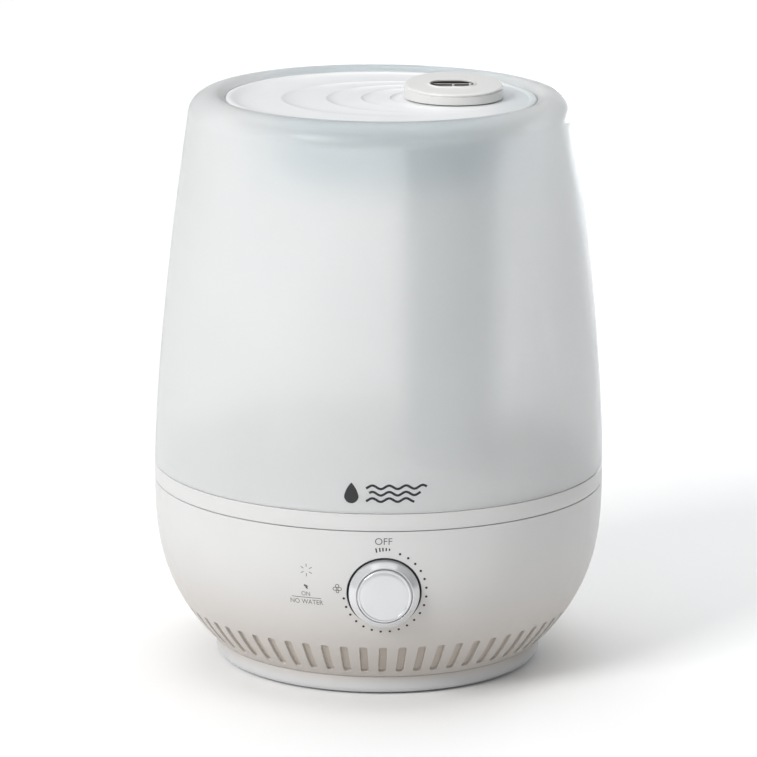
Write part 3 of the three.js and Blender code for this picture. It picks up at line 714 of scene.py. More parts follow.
class HUMIDIFIER_OT_foot(bpy.types.Operator):
    """Build the foot ring with its plate, pads and screws, and the gauze behind the air slots"""

    bl_idname = "humidifier.foot"
    bl_label = "Foot"

    def execute(self, context):
        sizes = context.scene.humidifier_sizes
        outer = high("bottom_cover").x
        under = low("bottom_cover").z
        top = sizes.shell_bottom - 0.08 * MM
        lathed("foot_ring", [
            (0, 3 * MM, 0), (74.5 * MM, 3 * MM, 0.8 * MM), (75.8 * MM, under, 0.5 * MM),
            (outer, under, 3.2 * MM), (outer, top, 0.1 * MM), (77 * MM, top, 0.4 * MM),
            (77 * MM, 12.5 * MM, 0.4 * MM), (75.4 * MM, 12.5 * MM, 0.4 * MM), (75.4 * MM, 5.4 * MM, 1 * MM),
            (0, 5.4 * MM, 0),
        ], "base", Finishes.get("white_foot"), "white_shell", "bottom_cover", columns=256)

        low_z, high_z = low("dust_filter").z, high("dust_filter").z
        inward = sizes.shell_wall + 0.2 * MM
        path = graph(lambda z: bowl_radius(z) - inward, low_z, high_z, 8)
        back = graph(lambda z: bowl_radius(z) - inward - 0.9 * MM, high_z, low_z, 8)
        mesh = surface("air_filter", turned(np.concatenate([path, back])[:, :2], 240))
        piece(mesh, "base", Finishes.get("filter"), "filter", "dust_filter")

        for i in range(1, 5):
            node = f"rubber_foot_{i}"
            middle = (low(node) + high(node)) / 2
            radius = high(node).x - middle.x
            lathed(f"foot_pad_{i}", [
                (0, 0.5 * MM, 0), (2.2 * MM, 0.5 * MM, 0.3 * MM), (2.8 * MM, 0, 0.3 * MM),
                (radius, 0, 0.9 * MM), (radius, high(node).z, 0.2 * MM), (0, high(node).z, 0),
            ], "base", Finishes.get("rubber"), "rubber", node, columns=48, middle=middle.xy)
        for i in range(1, 5):
            self.screw(f"cover_screw_{i}")
        return {"FINISHED"}

    def screw(self, node):
        """A pan head with a cross recess: a dip that falls off with the distance from either of two bars."""
        low_corner, high_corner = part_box(node)
        middle = (low_corner + high_corner) / 2
        radius = high_corner.x - middle.x
        columns = 64
        angle = np.arange(columns) / columns * FULL_TURN
        r = np.concatenate([np.linspace(0, 0.74, 16), np.linspace(0.8, 1, 5)])[:, None] * radius
        x, y = r * np.sin(angle), -r * np.cos(angle)
        across = np.minimum(np.abs(x), np.abs(y))
        dip = np.clip(1 - across / (0.45 * MM), 0, 1) * np.clip(1 - (r - 1.6 * MM) / (0.4 * MM), 0, 1)
        z = low_corner.z + 0.5 * MM * (r / radius) ** 4 + 0.9 * MM * np.clip(dip * 1.6, 0, 1)
        head = np.stack([middle.x + x, middle.y + y, z], 2)
        path = np.array([(radius, low_corner.z + 1.2 * MM), (1.2 * MM, low_corner.z + 1.5 * MM),
                         (1.2 * MM, high_corner.z - 1 * MM), (0, high_corner.z)])
        shank = turned(path, columns, middle.xy)
        points = np.concatenate([head, shank])
        mesh = mesh_of(f"{node}_head", points, grid_faces(len(points), columns, False))
        piece(mesh, "base", Finishes.get("steel"), "steel", node)


class HUMIDIFIER_OT_knob(bpy.types.Operator):
    """Build the knob, its cap and the dark cup behind it"""

    bl_idname = "humidifier.knob"
    bl_label = "Knob"

    def execute(self, context):
        sizes = context.scene.humidifier_sizes
        height, radius = sizes.knob_height, sizes.knob_radius
        front = -low("knob_cap").y
        back = -high("knob").y
        web = front - 2.7 * MM  # front of the ring's web, which the face sits on
        ring = np.concatenate([
            [(3.4 * MM, 102 * MM, 0), (5.2 * MM, 102 * MM, 0), (5.2 * MM, web - 1.8 * MM, 0),
             (15.4 * MM, web - 1.8 * MM, 0), (15.4 * MM, back, 0), (radius, back, 0),
             (radius, web - 3.9 * MM, 0)],
            elliptic_arc(radius - 0.9 * MM, web - 3.6 * MM, 0.9 * MM, 0.9 * MM, 0, 42, 6),
            [(13.9 * MM, web + 1.1 * MM, 0)],
            elliptic_arc(13.75 * MM, web + 0.9 * MM, 0.5 * MM, 0.6 * MM, 60, 160, 6),
            [(13.25 * MM, web, 0), (3.4 * MM, web, 0)],
        ])
        mesh = surface("knob_ring", facing_front(turned(ring[:, :2], 160), height))
        piece(mesh, "knob", Finishes.get("knob_gloss"), "knob_gloss", "knob")

        cap_r = high("knob_cap").x
        rim = cap_r - 0.6 * MM
        face = np.concatenate([
            [(0, web + 0.3 * MM, 0), (cap_r - 0.3 * MM, web + 0.3 * MM, 0),
             (cap_r - 0.1 * MM, web + 1.2 * MM, 0)],
            elliptic_arc(rim, web + 1.7 * MM, 0.6 * MM, 0.7 * MM, 0, 90, 6),
            [(rim - 0.35 * MM, web + 2.3 * MM, 0), (rim - 0.7 * MM, web + 2.1 * MM, 0)],
        ])
        r = np.linspace(rim - 1.2 * MM, 0, 9)
        dome = np.stack([r, front - 0.6 * MM * (r / cap_r) ** 2, 0 * r], 1)
        profile = np.concatenate([face, dome])[:, :2]
        mesh = surface("knob_face", facing_front(turned(profile, 160), height), False)
        piece(mesh, "knob", Finishes.get("knob_gloss"), "knob_gloss", "knob_cap")

        # The recess lines the hole in the bowl up to just behind the bowl's surface.
        hole = sizes.knob_hole - 0.05 * MM
        cup = soft_path([(4.2 * MM, 97.5 * MM, 0), (19.3 * MM, 97.5 * MM, 0), (19.3 * MM, 103.5 * MM, 0),
                         (hole, 103.5 * MM, 0), (hole, 113 * MM, 0), (hole - 0.4 * MM, 113 * MM, 0),
                         (hole - 0.4 * MM, 99 * MM, 0.8 * MM), (4.2 * MM, 99 * MM, 0)])
        points = facing_front(turned(cup, 96), height)
        bowl_y = -np.sqrt(bowl_radius(points[..., 2]) ** 2 - points[..., 0] ** 2)
        points[..., 1] = np.maximum(points[..., 1], bowl_y + 0.35 * MM)
        # The cup is a real piece, but its near-black is also painted shade: it stands in for the shadow in
        # the gap round the knob.
        mesh = surface("knob_recess", points)
        piece(mesh, "base", Finishes.get("dark_plastic"), "dark_plastic", "knob_cup")
        return {"FINISHED"}


# ---------------------------------------------------------------- operators: the prints


def ribbon(path, width):
    """A flat strip of even width along a path of (across, height) points, as a grid two points wide."""
    path = np.asarray(path, float)
    along = np.gradient(path, axis=0)
    along /= np.linalg.norm(along, axis=1)[:, None]
    side = np.stack([-along[:, 1], along[:, 0]], 1) * width / 2
    return np.stack([path - side, path + side], 1)


def spot(x, z, radius, columns=20):
    """A flat disc as a grid of two rings, the inner one a point."""
    angle = np.arange(columns) / columns * FULL_TURN
    circle = np.stack([x + radius * np.sin(angle), z + radius * np.cos(angle)], 1)
    return np.stack([np.zeros_like(circle) + (x, z), circle])


class Print:
    """Flat shapes gathered into one thin printed piece that is wrapped round a shell."""

    def __init__(self, radius, lift=0.03 * MM):
        self.radius, self.lift = radius, lift
        self.points, self.faces, self.count = [], [], 0

    def add(self, flat, wrap_columns, turn=0.0):
        faces = grid_faces(*flat.shape[:2], False, wrap_columns)
        self.points.append(wrapped(flat, self.radius, self.lift, turn).reshape(-1, 3))
        self.faces.append(faces.reshape(-1, 4) + self.count)
        self.count += flat.shape[0] * flat.shape[1]

    def stroke(self, path, width, turn=0.0):
        self.add(ribbon(path, width), False, turn)

    def dot(self, x, z, radius, turn=0.0):
        self.add(spot(x, z, radius), True, turn)

    def word(self, text, width, height, x, z, turn=0.0):
        """Letters of the built-in font, stretched to a width and a height about (x, z)."""
        curve = bpy.data.curves.new("letters", "FONT")
        curve.body = text
        thing = bpy.data.objects.new("letters", curve)
        bpy.context.scene.collection.objects.link(thing)
        bpy.context.view_layer.update()
        mesh = bpy.data.meshes.new_from_object(thing.evaluated_get(bpy.context.evaluated_depsgraph_get()))
        flat = np.zeros(len(mesh.vertices) * 3)
        mesh.vertices.foreach_get("co", flat)
        flat = flat.reshape(-1, 3)[:, :2]
        mesh.calc_loop_triangles()
        triangles = np.zeros(len(mesh.loop_triangles) * 3, int)
        mesh.loop_triangles.foreach_get("vertices", triangles)
        triangles = triangles.reshape(-1, 3)
        bpy.data.objects.remove(thing)
        span = flat.max(0) - flat.min(0)
        flat = (flat - flat.min(0)) / span - 0.5
        flat = flat * (width, height) + (x, z)
        self.points.append(wrapped(flat, self.radius, self.lift, turn))
        self.faces.append(triangles[:, [0, 1, 2, 2]] + self.count)
        self.count += len(flat)

    def finish(self, name, body, ink):
        points, faces = np.concatenate(self.points), np.concatenate(self.faces)
        corner = points[faces[:, :3]]
        normal = np.cross(corner[:, 1] - corner[:, 0], corner[:, 2] - corner[:, 0])
        second = points[faces[:, [0, 2, 3]]]
        normal = normal + np.cross(second[:, 1] - second[:, 0], second[:, 2] - second[:, 0])
        inward = np.einsum("ij,ij->i", normal[:, :2], corner[:, 0, :2]) < 0
        faces[inward] = faces[inward][:, ::-1]
        mesh = mesh_of(name, points, faces)
        return piece(mesh, body, Finishes.get(ink), "dark_plastic")


class HUMIDIFIER_OT_dial(bpy.types.Operator):
    """Print the dots, the ticks and the word round the knob, and the lamp's signs beside it"""

    bl_idname = "humidifier.dial"
    bl_label = "Dial and lamp prints"

    def on_dial(self, sizes, angle, radius):
        """Place of a point at a clockwise angle from the top, on an upright ellipse about the knob."""
        x = 0.4 * MM + radius * np.sin(angle)
        z = sizes.knob_height + 0.13 * MM + sizes.dial_stretch * radius * np.cos(angle)
        return bowl_radius(sizes.knob_height) * np.arcsin(x / bowl_radius(sizes.knob_height)), z

    def execute(self, context):
        sizes = context.scene.humidifier_sizes
        dots = Print(bowl_radius)
        for angle in np.linspace(sizes.dial_from, sizes.dial_to, sizes.dial_dots):
            dots.dot(*self.on_dial(sizes, angle, sizes.dial_radius), 0.62 * MM)
        for angle, long in zip(np.radians((-12.1, -7.4, -3.3, 0.96, 5.2)), (2.3, 2.1, 1.9, 1.6, 1.2)):
            ends = [self.on_dial(sizes, angle, 20.85 * MM + side * 0.9 * long * MM / 2) for side in (-1, 1)]
            dots.stroke(ends, 0.65 * MM)
        dots.finish("dial_dots", "base", "ink")

        words = Print(bowl_radius)
        words.word("OFF", 8.2 * MM, 3.3 * MM, -0.5 * MM, 85.8 * MM)
        lamp = math.radians(-20)
        words.word("ON", 4.3 * MM, 2.2 * MM, -0.15 * MM, 57.6 * MM, lamp)
        words.word("NO WATER", 16.5 * MM, 2.4 * MM, 0, 53.4 * MM, lamp)
        words.stroke([(x, 55.6 * MM) for x in np.linspace(-7.4, 7.4, 31) * MM], 0.32 * MM, lamp)
        star = (0.7 * MM, 69.8 * MM)
        for angle in np.arange(6) / 6 * FULL_TURN:
            outwards = np.array([(math.sin(angle), math.cos(angle))])
            words.stroke(outwards * [[1.6 * MM], [3.2 * MM]] + star, 0.36 * MM, lamp)
        around = np.linspace(0, FULL_TURN, 17)
        for x, z, radius in ((0, 1.2, 0.85), (-1.15, -0.3, 0.85), (1.15, -0.3, 0.85), (0.1, -1.7, 0.65)):
            ring = np.stack([x + radius * np.cos(around), 61.6 + z + radius * np.sin(around)], 1) * MM
            words.stroke(ring, 0.36 * MM, math.radians(-11.8))
        words.finish("dial_words", "base", "grey_ink")

        lens = Print(bowl_radius, 0.08 * MM)
        for x, z in ((-0.35, 0.2), (0.6, -0.2)):
            lens.dot(x * MM, 61.7 * MM + z * MM, 0.55 * MM, lamp)
        lens.finish("lamp_window", "base", "lens")
        return {"FINISHED"}


class HUMIDIFIER_OT_mark(bpy.types.Operator):
    """Print a plain drop with three waves of mist on the tank"""

    bl_idname = "humidifier.mark"
    bl_label = "Mark on the tank"

    def drop(self, x, z, tall):
        """A drop: a circle drawn out upwards, where it also narrows with the power 0.35 of 1 - height."""
        angle = np.arange(48) / 48 * FULL_TURN
        across, up = np.sin(angle), -np.cos(angle)
        taper = np.where(up > 0, (1 - up) ** 0.35, 1)
        up = np.where(up > 0, 0.62, 0.33) * up
        outline = np.stack([x + tall * 0.33 * across * taper, z + tall * up], 1)
        return np.stack([np.zeros_like(outline) + (x, z), outline])

    def execute(self, context):
        mark = Print(tank_radius)
        middle = 109.2 * MM
        mark.add(self.drop(-16 * MM, middle - 1.4 * MM, 10.5 * MM), True)
        t = np.linspace(0, 1, 40)
        for row, (start, end) in enumerate(((-9, 20), (-7.5, 17), (-9, 14))):
            x = (start + (end - start) * t) * MM
            z = middle + (3.1 - 3.1 * row) * MM + 0.85 * MM * np.sin(x / (8 * MM) * FULL_TURN)
            mark.stroke(np.stack([x, z], 1), 1.15 * MM)
        mark.finish("tank_mark", "tank", "ink")
        return {"FINISHED"}


# ---------------------------------------------------------------- operators: the tank, the lid and the nozzle


class HUMIDIFIER_OT_tank(bpy.types.Operator):
    """Build the frosted tank, its white band and floor, and the mist tube inside"""

    bl_idname = "humidifier.tank"
    bl_label = "Tank"

    def execute(self, context):
        sizes = context.scene.humidifier_sizes
        bottom = sizes.band_top + 0.3 * MM
        crest = high("tank_shell").z
        shoulder_z = crest - sizes.shoulder_rise
        mouth = sizes.mouth_radius
        out_r = float(tank_radius(shoulder_z)) - sizes.shoulder_radius

        def inner(z):
            return tank_radius(z) - sizes.tank_wall

        foot_r = float(tank_radius(bottom))
        path = np.concatenate([
            [(foot_r - 0.35 * MM, bottom, 0), (foot_r - 0.05 * MM, bottom + 0.3 * MM, 0)],
            graph(tank_radius, bottom + 1 * MM, shoulder_z - 0.4 * MM, 44),
            elliptic_arc(sizes.shoulder_radius, shoulder_z, out_r, sizes.shoulder_rise, 2, 90, 22),
            elliptic_arc(sizes.shoulder_radius, crest - 3.2 * MM, 4.6 * MM, 3.2 * MM, 98, 150, 8),
            [(mouth, crest - 2.6 * MM, 0.3 * MM), (mouth, 276.5 * MM, 0.2 * MM),
             (72.5 * MM, 276.5 * MM, 0.3 * MM), (72.5 * MM, 274 * MM, 0.3 * MM),
             (79 * MM, 274 * MM, 0.8 * MM), (79 * MM, crest - 3.9 * MM, 0)],
            elliptic_arc(sizes.shoulder_radius, shoulder_z, out_r - sizes.tank_wall,
                         sizes.shoulder_rise - 2.6 * MM, 88, 2, 10),
            graph(inner, shoulder_z - 0.4 * MM, bottom, 30),
        ])
        mesh = surface("tank_wall", turned(soft_path(path, 3), 256))
        piece(mesh, "tank", Finishes.get("frosted"), "frosted", "tank_shell")

        rim = sizes.rim_radius
        floor = lathed("tank_band", [
            (0, 96 * MM, 0), (81.5 * MM, 96 * MM, 0.5 * MM), (81.5 * MM, 84 * MM, 0.4 * MM),
            (83 * MM, 84 * MM, 0.4 * MM), (83 * MM, 96 * MM, 0.5 * MM), (108.8 * MM, 96 * MM, 0.8 * MM),
            (108.8 * MM, sizes.band_bottom, 0.3 * MM), (rim, sizes.band_bottom, 0.35 * MM),
            (rim, sizes.band_top, 0.3 * MM), (108.5 * MM, sizes.band_top, 0.2 * MM),
            (108.5 * MM, 103 * MM, 0.3 * MM), (106.9 * MM, 103 * MM, 0.3 * MM),
            (106.9 * MM, 98.4 * MM, 1 * MM), (0, 98.4 * MM, 0),
        ], "tank", Finishes.get("white_shell"), "white_shell", "tank_base", columns=256, steps=3)
        self.drill(floor, "tube_hole", sizes.nozzle_x, 20.5 * MM)
        self.drill(floor, "valve_hole", -38 * MM, 12.3 * MM)

        tube_low, tube_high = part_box("mist_tube")
        lathed("mist_pipe", [
            (21.4 * MM, tube_low.z, 0.4 * MM), (23 * MM, tube_low.z, 0.4 * MM),
            (23 * MM, tube_high.z, 0.5 * MM), (21.4 * MM, tube_high.z, 0.5 * MM),
        ], "tank", Finishes.get("frosted_tube"), "frosted", "mist_tube", columns=96,
            middle=(sizes.nozzle_x, 0))
        return {"FINISHED"}

    def drill(self, thing, name, x, radius):
        """Cuts a round hole straight down through a piece."""
        path = np.array([(0, 80 * MM), (radius, 80 * MM), (radius, 115 * MM), (0, 115 * MM)])
        cutter = bpy.data.objects.new(name, surface(name, turned(path, 96, (x, 0)), False))
        bpy.context.scene.collection.objects.link(cutter)
        cut = thing.modifiers.new(name, "BOOLEAN")
        cut.operation, cut.solver, cut.object = "DIFFERENCE", "EXACT", cutter
        with bpy.context.temp_override(object=thing, active_object=thing):
            bpy.ops.object.modifier_apply(modifier=name)
        bpy.data.objects.remove(cutter)


class HUMIDIFIER_OT_lid(bpy.types.Operator):
    """Build the lid, whose terraces close in on the nozzle and fade towards the right"""

    bl_idname = "humidifier.lid"
    bl_label = "Lid"

    # The terraces' edges from the rim inwards, in millimetres: the left end, then half the size across
    # and half the size from front to back.
    terraces = (
        (-71.8, 72.1, 72.1),
        (-48.6, 55.3, 50.0),
        (-26.7, 43.6, 40.0),
        (-9.8, 34.3, 31.5),
        (4.2, 26.3, 25.4),
    )

    def scallops(self, sizes):
        """Rows between the terraces' edges. From each edge the surface drops steeply and comes up again to
        the next one, as (1 - exp(-s / 0.2)) * (1 - s); s is the share of the way."""
        rows = []
        foot = (sizes.nozzle_x - 22.5 * MM, 22.5 * MM, 22.5 * MM)
        edges = [tuple(np.array(edge) * MM) for edge in self.terraces] + [foot]
        share = np.array([0, 0.02, 0.05, 0.1, 0.17, 0.26, 0.38, 0.52, 0.68, 0.84, 0.96])
        for outer, inner in zip(edges, edges[1:]):
            for s in share:
                left, across, deep = (1 - s) * np.array(outer) + s * np.array(inner)
                dip = sizes.lid_step * (1 - math.exp(-s / 0.2)) * (1 - s)
                rows.append((left + across, across, deep, 279.9 * MM, dip))
        return rows

    def rings(self, sizes, columns):
        """Each ring is an ellipse (middle x, half across, half deep, height, dip): its left end lies lower
        by the dip, its right end doesn't, and between them the share of it goes with the angle's sine."""
        r = sizes.lid_radius

        def circle(middle, radius, height):
            return middle, radius, radius, height * MM, 0

        x, top = sizes.nozzle_x, 280.6
        rows = [circle(0, r, 276.9), circle(0, r, 279.9), circle(0, r - 0.25 * MM, top - 0.2),
                circle(0, r - 0.8 * MM, top), circle(0, r - 2.2 * MM, top),
                circle(0.1 * MM, r - 2.8 * MM, 280.45), circle(0.3 * MM, r - 3.7 * MM, 279.95)]
        rows += self.scallops(sizes)
        rows += [circle(x, 19 * MM, 279.6), circle(x, 18.2 * MM, 279.3), circle(x, 18.2 * MM, 258.3),
                 circle(x, 18.5 * MM, 258), circle(x, 19.3 * MM, 258), circle(x, 19.6 * MM, 258.3),
                 circle(x, 19.6 * MM, 275.6), circle(x, 21.4 * MM, 277.4), circle(0.5 * x, 45 * MM, 277.4),
                 circle(0, 69 * MM, 277.4), circle(0, 70.2 * MM, 276.4), circle(0, 70.2 * MM, 268.3),
                 circle(0, 70.5 * MM, 268), circle(0, 71.6 * MM, 268), circle(0, 71.9 * MM, 268.3),
                 circle(0, 71.9 * MM, 276.4), circle(0, 72.3 * MM, 276.8), circle(0, r - 0.2 * MM, 276.8)]
        middle, across, deep, height, dip = np.array(rows).T[:, :, None]
        angle = np.arange(columns) / columns * FULL_TURN
        return np.stack([
            middle + across * np.sin(angle),
            -deep * np.cos(angle),
            height - dip * (0.5 - 0.5 * np.sin(angle)) ** 1.1,
        ], 2)

    def execute(self, context):
        sizes = context.scene.humidifier_sizes
        mesh = surface("lid_cover", self.rings(sizes, 288), sharp=math.radians(40))
        piece(mesh, "lid", Finishes.get("white_lid"), "white_shell", "lid")
        seal_low, seal_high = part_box("lid_seal")
        lathed("duct_seal", [
            (19.8 * MM, seal_low.z, 0.2 * MM), (20.5 * MM, seal_low.z, 0.2 * MM),
            (21.2 * MM, 263.5 * MM, 0.4 * MM), (20.5 * MM, seal_high.z, 0.2 * MM),
            (19.8 * MM, seal_high.z, 0.2 * MM),
        ], "lid", Finishes.get("silicone"), "silicone", "lid_seal", columns=96, middle=(sizes.nozzle_x, 0))
        return {"FINISHED"}


class HUMIDIFIER_OT_nozzle(bpy.types.Operator):
    """Build the nozzle: a low dome with a rimmed mist slot, over a dark sleeve with bars"""

    bl_idname = "humidifier.nozzle"
    bl_label = "Nozzle"

    def stadium(self, angle, half_length, half_width):
        """Distance from the middle to a slot with round ends, in each direction."""
        c, s = np.abs(np.cos(angle)), np.abs(np.sin(angle))
        flat = half_length - half_width
        to_side = half_width / np.maximum(s, 1e-9)
        to_end = flat * c + np.sqrt(np.maximum(half_width**2 - (flat * s) ** 2, 0))
        return np.where(to_side * c <= flat, to_side, to_end)

    def execute(self, context):
        sizes = context.scene.humidifier_sizes
        columns = 160
        radius, top = sizes.nozzle_radius, high("nozzle_cap").z
        angle = np.arange(columns) / columns * FULL_TURN
        slot_middle = np.array([-1.0 * MM, -2.6 * MM])
        reach = radius - 1 * MM  # the circle that the dome's grid ends on

        def dome(x, y):
            """An almost flat top that leans to the front."""
            u, v = x / radius, y / radius
            return top + (-1.75 - 0.6 * u**2 - 0.25 * v**2 + 1.8 * v) * MM

        def ring(s, margin, lift):
            """A share s of the way from the slot, widened by a margin, to a circle, lifted off the dome."""
            slot = self.stadium(angle, sizes.slot_length / 2 + margin, sizes.slot_width / 2 + margin)
            x = (1 - s) * (slot_middle[0] + slot * np.cos(angle)) + s * reach * np.cos(angle)
            y = (1 - s) * (slot_middle[1] + slot * np.sin(angle)) + s * reach * np.sin(angle)
            return np.stack([x, y, dome(x, y) + lift], 1)

        def flat_ring(r, z):
            return np.stack([r * np.cos(angle), r * np.sin(angle), z + 0 * angle], 1)

        lip = [ring(0, margin * MM, lift * MM) for margin, lift in (
            (2.6, -1.3), (1.2, -0.7), (0.25, -0.5), (0.02, -0.3), (0, 0), (0, 0.3), (0.15, 0.5), (0.45, 0.56),
            (0.8, 0.42), (1.05, 0.14), (1.35, 0), (1.9, 0))]
        spread = [ring(s, 1.9 * MM, 0) for s in (0.15, 0.35, 0.55, 0.75, 0.9, 1)]
        edge_z = dome(radius * np.cos(angle), radius * np.sin(angle))
        groove = (0.1 + 0.14 * (1 + np.cos(angle + 0.7))) * MM
        edge = [flat_ring(radius - inset, edge_z - drop * MM) for inset, drop in (
            (0.6 * MM, 0.1), (0.32 * MM, 0.26), (0.14 * MM, 0.5), (0.1 * MM, 0.9), (0.1 * MM + groove, 1.05),
            (0.1 * MM + groove, 1.3), (0, 1.45))]
        bottom = 280.35 * MM
        side = [flat_ring(radius, bottom + 0.6 * MM), flat_ring(radius - 0.12 * MM, bottom + 0.15 * MM),
                flat_ring(radius - 0.5 * MM, bottom), flat_ring(22.6 * MM, bottom)]
        side += [flat_ring(r * MM, z * MM) for r, z in (
            (22.4, 284.2), (17.7, 284.4), (17.7, 272.3), (17.4, 272), (16.3, 272), (16, 272.3), (16, 284.9))]
        points = np.stack([*lip, *spread, *edge, *side])
        points[..., 0] += sizes.nozzle_x
        mesh = surface("nozzle_dome", points)
        piece(mesh, "nozzle", Finishes.get("white_nozzle"), "white_shell", "nozzle_cap")
        self.sleeve(sizes)
        return {"FINISHED"}

    def sleeve(self, sizes):
        """A dark sleeve with a floor, under the slot, whose near-black grey is painted shade for the unlit
        inside of the nozzle; two long bars, a post and a rib cross it.
        """
        dark, x = Finishes.get("grey_plastic"), sizes.nozzle_x
        lathed("mist_sleeve", [
            (0, 275 * MM, 0), (12 * MM, 275 * MM, 0.4 * MM), (12 * MM, 274 * MM, 0.3 * MM),
            (15.7 * MM, 274 * MM, 0.3 * MM), (15.7 * MM, 286 * MM, 0.2 * MM), (15 * MM, 286 * MM, 0.2 * MM),
            (15 * MM, 276.5 * MM, 0.8 * MM), (0, 276.5 * MM, 0),
        ], "nozzle", dark, "dark_plastic", "nozzle_baffle", columns=96, middle=(x, 0))
        bars = (("mist_bar_1", (-14, 2.5, 286.5), (14, 2.5, 286.5), 0.35, "bar_plastic"),
                ("mist_bar_2", (-14, 4.5, 285.3), (14, 4.5, 285.3), 0.35, "bar_plastic"),
                ("mist_post", (-0.4, -3, 276), (-0.4, -3, 287.2), 0.6, "white_lid"),
                ("mist_rib", (8.0, -1.5, 276), (8.0, -1.5, 287.5), 0.7, "white_lid"))
        for name, start, end, radius, finish in bars:
            mesh = surface(name, rod(start, end, radius) * MM + (x, 0, 0), False)
            piece(mesh, "nozzle", Finishes.get(finish), "dark_plastic")


# ---------------------------------------------------------------- operators: what keeps its CAD shape


class HUMIDIFIER_OT_inside(bpy.types.Operator):
    """Give the pieces that keep their CAD shape a finish with real detail"""

    bl_idname = "humidifier.inside"
    bl_label = "Inside pieces"

    def execute(self, context):
        slots = {part["node"]: part["material_slot"] for part in frame["record"]["subparts"]}
        for name, thing in frame["nodes"].items():
            if thing.hide_render:
                continue
            slot = "white_inner" if slots[name] == "white_shell" else slots[name]
            material = Finishes.get(slot)
            thing.data.materials.clear()
            thing.data.materials.append(material)
        return {"FINISHED"}


# ---------------------------------------------------------------- operators: the stage


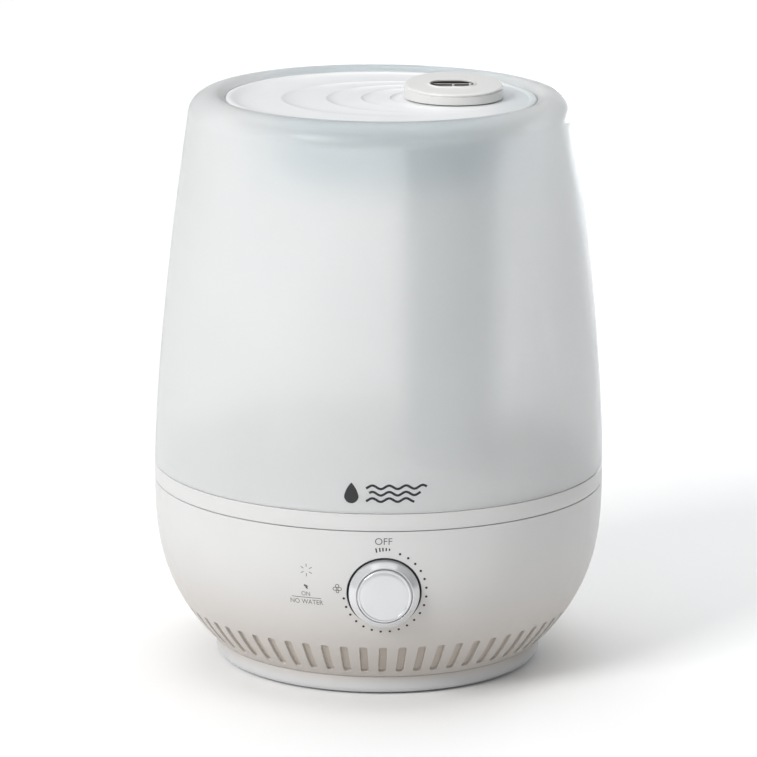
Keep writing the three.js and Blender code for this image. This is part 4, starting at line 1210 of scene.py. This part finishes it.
class HUMIDIFIER_OT_stage(bpy.types.Operator):
    """Set up the floor, the lights and the camera"""

    bl_idname = "humidifier.stage"
    bl_label = "Studio"

    def floor(self, colours):
        """A large flat sheet just under the feet: a grid of two plain coordinates."""
        across, along = np.meshgrid(np.linspace(-6, 6, 9), np.linspace(-6, 6, 9))
        points = np.stack([across, along, 0 * across - 0.05 * MM], 2)
        mesh = mesh_of("studio_floor", points, grid_faces(9, 9, False, False))
        thing = bpy.data.objects.new("studio_floor", mesh)
        bpy.context.scene.collection.objects.link(thing)
        finish = Finish("studio_floor", tuple(colours.floor), 0.7)
        finish.tint(finish.ramp(finish.noise(0.6, 2), 0.4, 0.7, 0, 0.3), darker(colours.floor, 0.99))
        mesh.materials.append(finish.material)

    def lamp(self, name, place, target, size, power, tint=(1, 1, 1)):
        light = bpy.data.lights.new(name, "AREA")
        light.shape = "RECTANGLE"
        light.size, light.size_y = size
        light.energy = power
        light.color = tint
        thing = bpy.data.objects.new(name, light)
        thing.location = place
        thing.rotation_euler = (Vector(target) - Vector(place)).to_track_quat("-Z", "Y").to_euler()
        bpy.context.scene.collection.objects.link(thing)

    def dim_to_the_right(self, tree):
        """The surroundings are brighter on the key light's side, by their direction in the world."""
        direction = tree.nodes.new("ShaderNodeTexCoord")
        split = tree.nodes.new("ShaderNodeSeparateXYZ")
        strength = tree.nodes.new("ShaderNodeMapRange")
        tree.links.new(direction.outputs["Generated"], split.inputs[0])
        tree.links.new(split.outputs["X"], strength.inputs["Value"])
        for socket, value in (("From Min", 0.7), ("From Max", -0.7), ("To Min", 0.26), ("To Max", 0.46)):
            strength.inputs[socket].default_value = value
        background = tree.nodes["Background"]
        background.inputs["Color"].default_value = (0.97, 0.985, 1, 1)
        tree.links.new(strength.outputs["Result"], background.inputs["Strength"])

    def camera(self):
        """A long lens a little to the left of the knob, looking 13.3 degrees down on the object's axis."""
        turn, down, roll = math.radians(1.6), 0.23244, 0.0066
        distance, height, drift = 2.1649, 0.65147, 0.00017
        camera = bpy.data.cameras.new("camera")
        camera.lens, camera.sensor_width = 213.3, 36
        camera.clip_end = 50
        thing = bpy.data.objects.new("camera", camera)
        thing.location = (-distance * math.sin(turn), -distance * math.cos(turn), height)
        heading = turn - drift
        ahead = math.cos(down)
        aim = Vector((math.sin(heading) * ahead, math.cos(heading) * ahead, -math.sin(down)))
        thing.rotation_mode = "QUATERNION"
        thing.rotation_quaternion = aim.to_track_quat("-Z", "Y") @ Quaternion((0, 0, 1), roll)
        bpy.context.scene.collection.objects.link(thing)
        bpy.context.scene.camera = thing

    def execute(self, context):
        self.floor(context.scene.humidifier_colours)
        self.lamp("key", (-2.75, -2.65, 2.6), (0, 0, 0.15), (1.6, 1.8), 129)
        self.lamp("fill", (3.0, -1.4, 1.4), (0, 0, 0.12), (1.2, 2.0), 5)
        self.lamp("back", (1.0, 2.5, 0.16), (0, 0, 0.18), (1.2, 0.26), 40, (0.9, 0.96, 1))
        self.lamp("top", (0.0, 1.0, 4.2), (0, 0.4, 0), (5, 5), 108)
        world = bpy.data.worlds.new("studio")
        world.use_nodes = True
        self.dim_to_the_right(world.node_tree)
        context.scene.world = world
        context.scene.view_settings.view_transform = "Standard"
        self.camera()
        return {"FINISHED"}


# ---------------------------------------------------------------- the add-on


PIECES = (
    HUMIDIFIER_OT_bowl, HUMIDIFIER_OT_foot, HUMIDIFIER_OT_knob, HUMIDIFIER_OT_dial, HUMIDIFIER_OT_tank,
    HUMIDIFIER_OT_mark, HUMIDIFIER_OT_lid, HUMIDIFIER_OT_nozzle, HUMIDIFIER_OT_inside, HUMIDIFIER_OT_stage,
)


class HUMIDIFIER_PT_sidebar(bpy.types.Panel):
    """Lists the pieces in the order in which they are built"""

    bl_label = "Humidifier"
    bl_idname = "HUMIDIFIER_PT_sidebar"
    bl_space_type = "VIEW_3D"
    bl_region_type = "UI"
    bl_category = "Humidifier"

    def draw(self, context):
        for operator in PIECES:
            self.layout.operator(operator.bl_idname)
        for group in (context.scene.humidifier_sizes, context.scene.humidifier_colours):
            for key in group.bl_rna.properties.keys():
                if key not in ("rna_type", "name"):
                    self.layout.prop(group, key)


CLASSES = (HumidifierSizes, HumidifierColours, *PIECES, HUMIDIFIER_PT_sidebar)


def register():
    for item in CLASSES:
        bpy.utils.register_class(item)
    bpy.types.Scene.humidifier_sizes = PointerProperty(type=HumidifierSizes)
    bpy.types.Scene.humidifier_colours = PointerProperty(type=HumidifierColours)


def unregister():
    del bpy.types.Scene.humidifier_colours
    del bpy.types.Scene.humidifier_sizes
    for item in reversed(CLASSES):
        bpy.utils.unregister_class(item)


def main():
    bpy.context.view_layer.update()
    register()
    for operator in PIECES:
        group, name = operator.bl_idname.split(".")
        getattr(getattr(bpy.ops, group), name)()


if __name__ == "__main__":
    main()
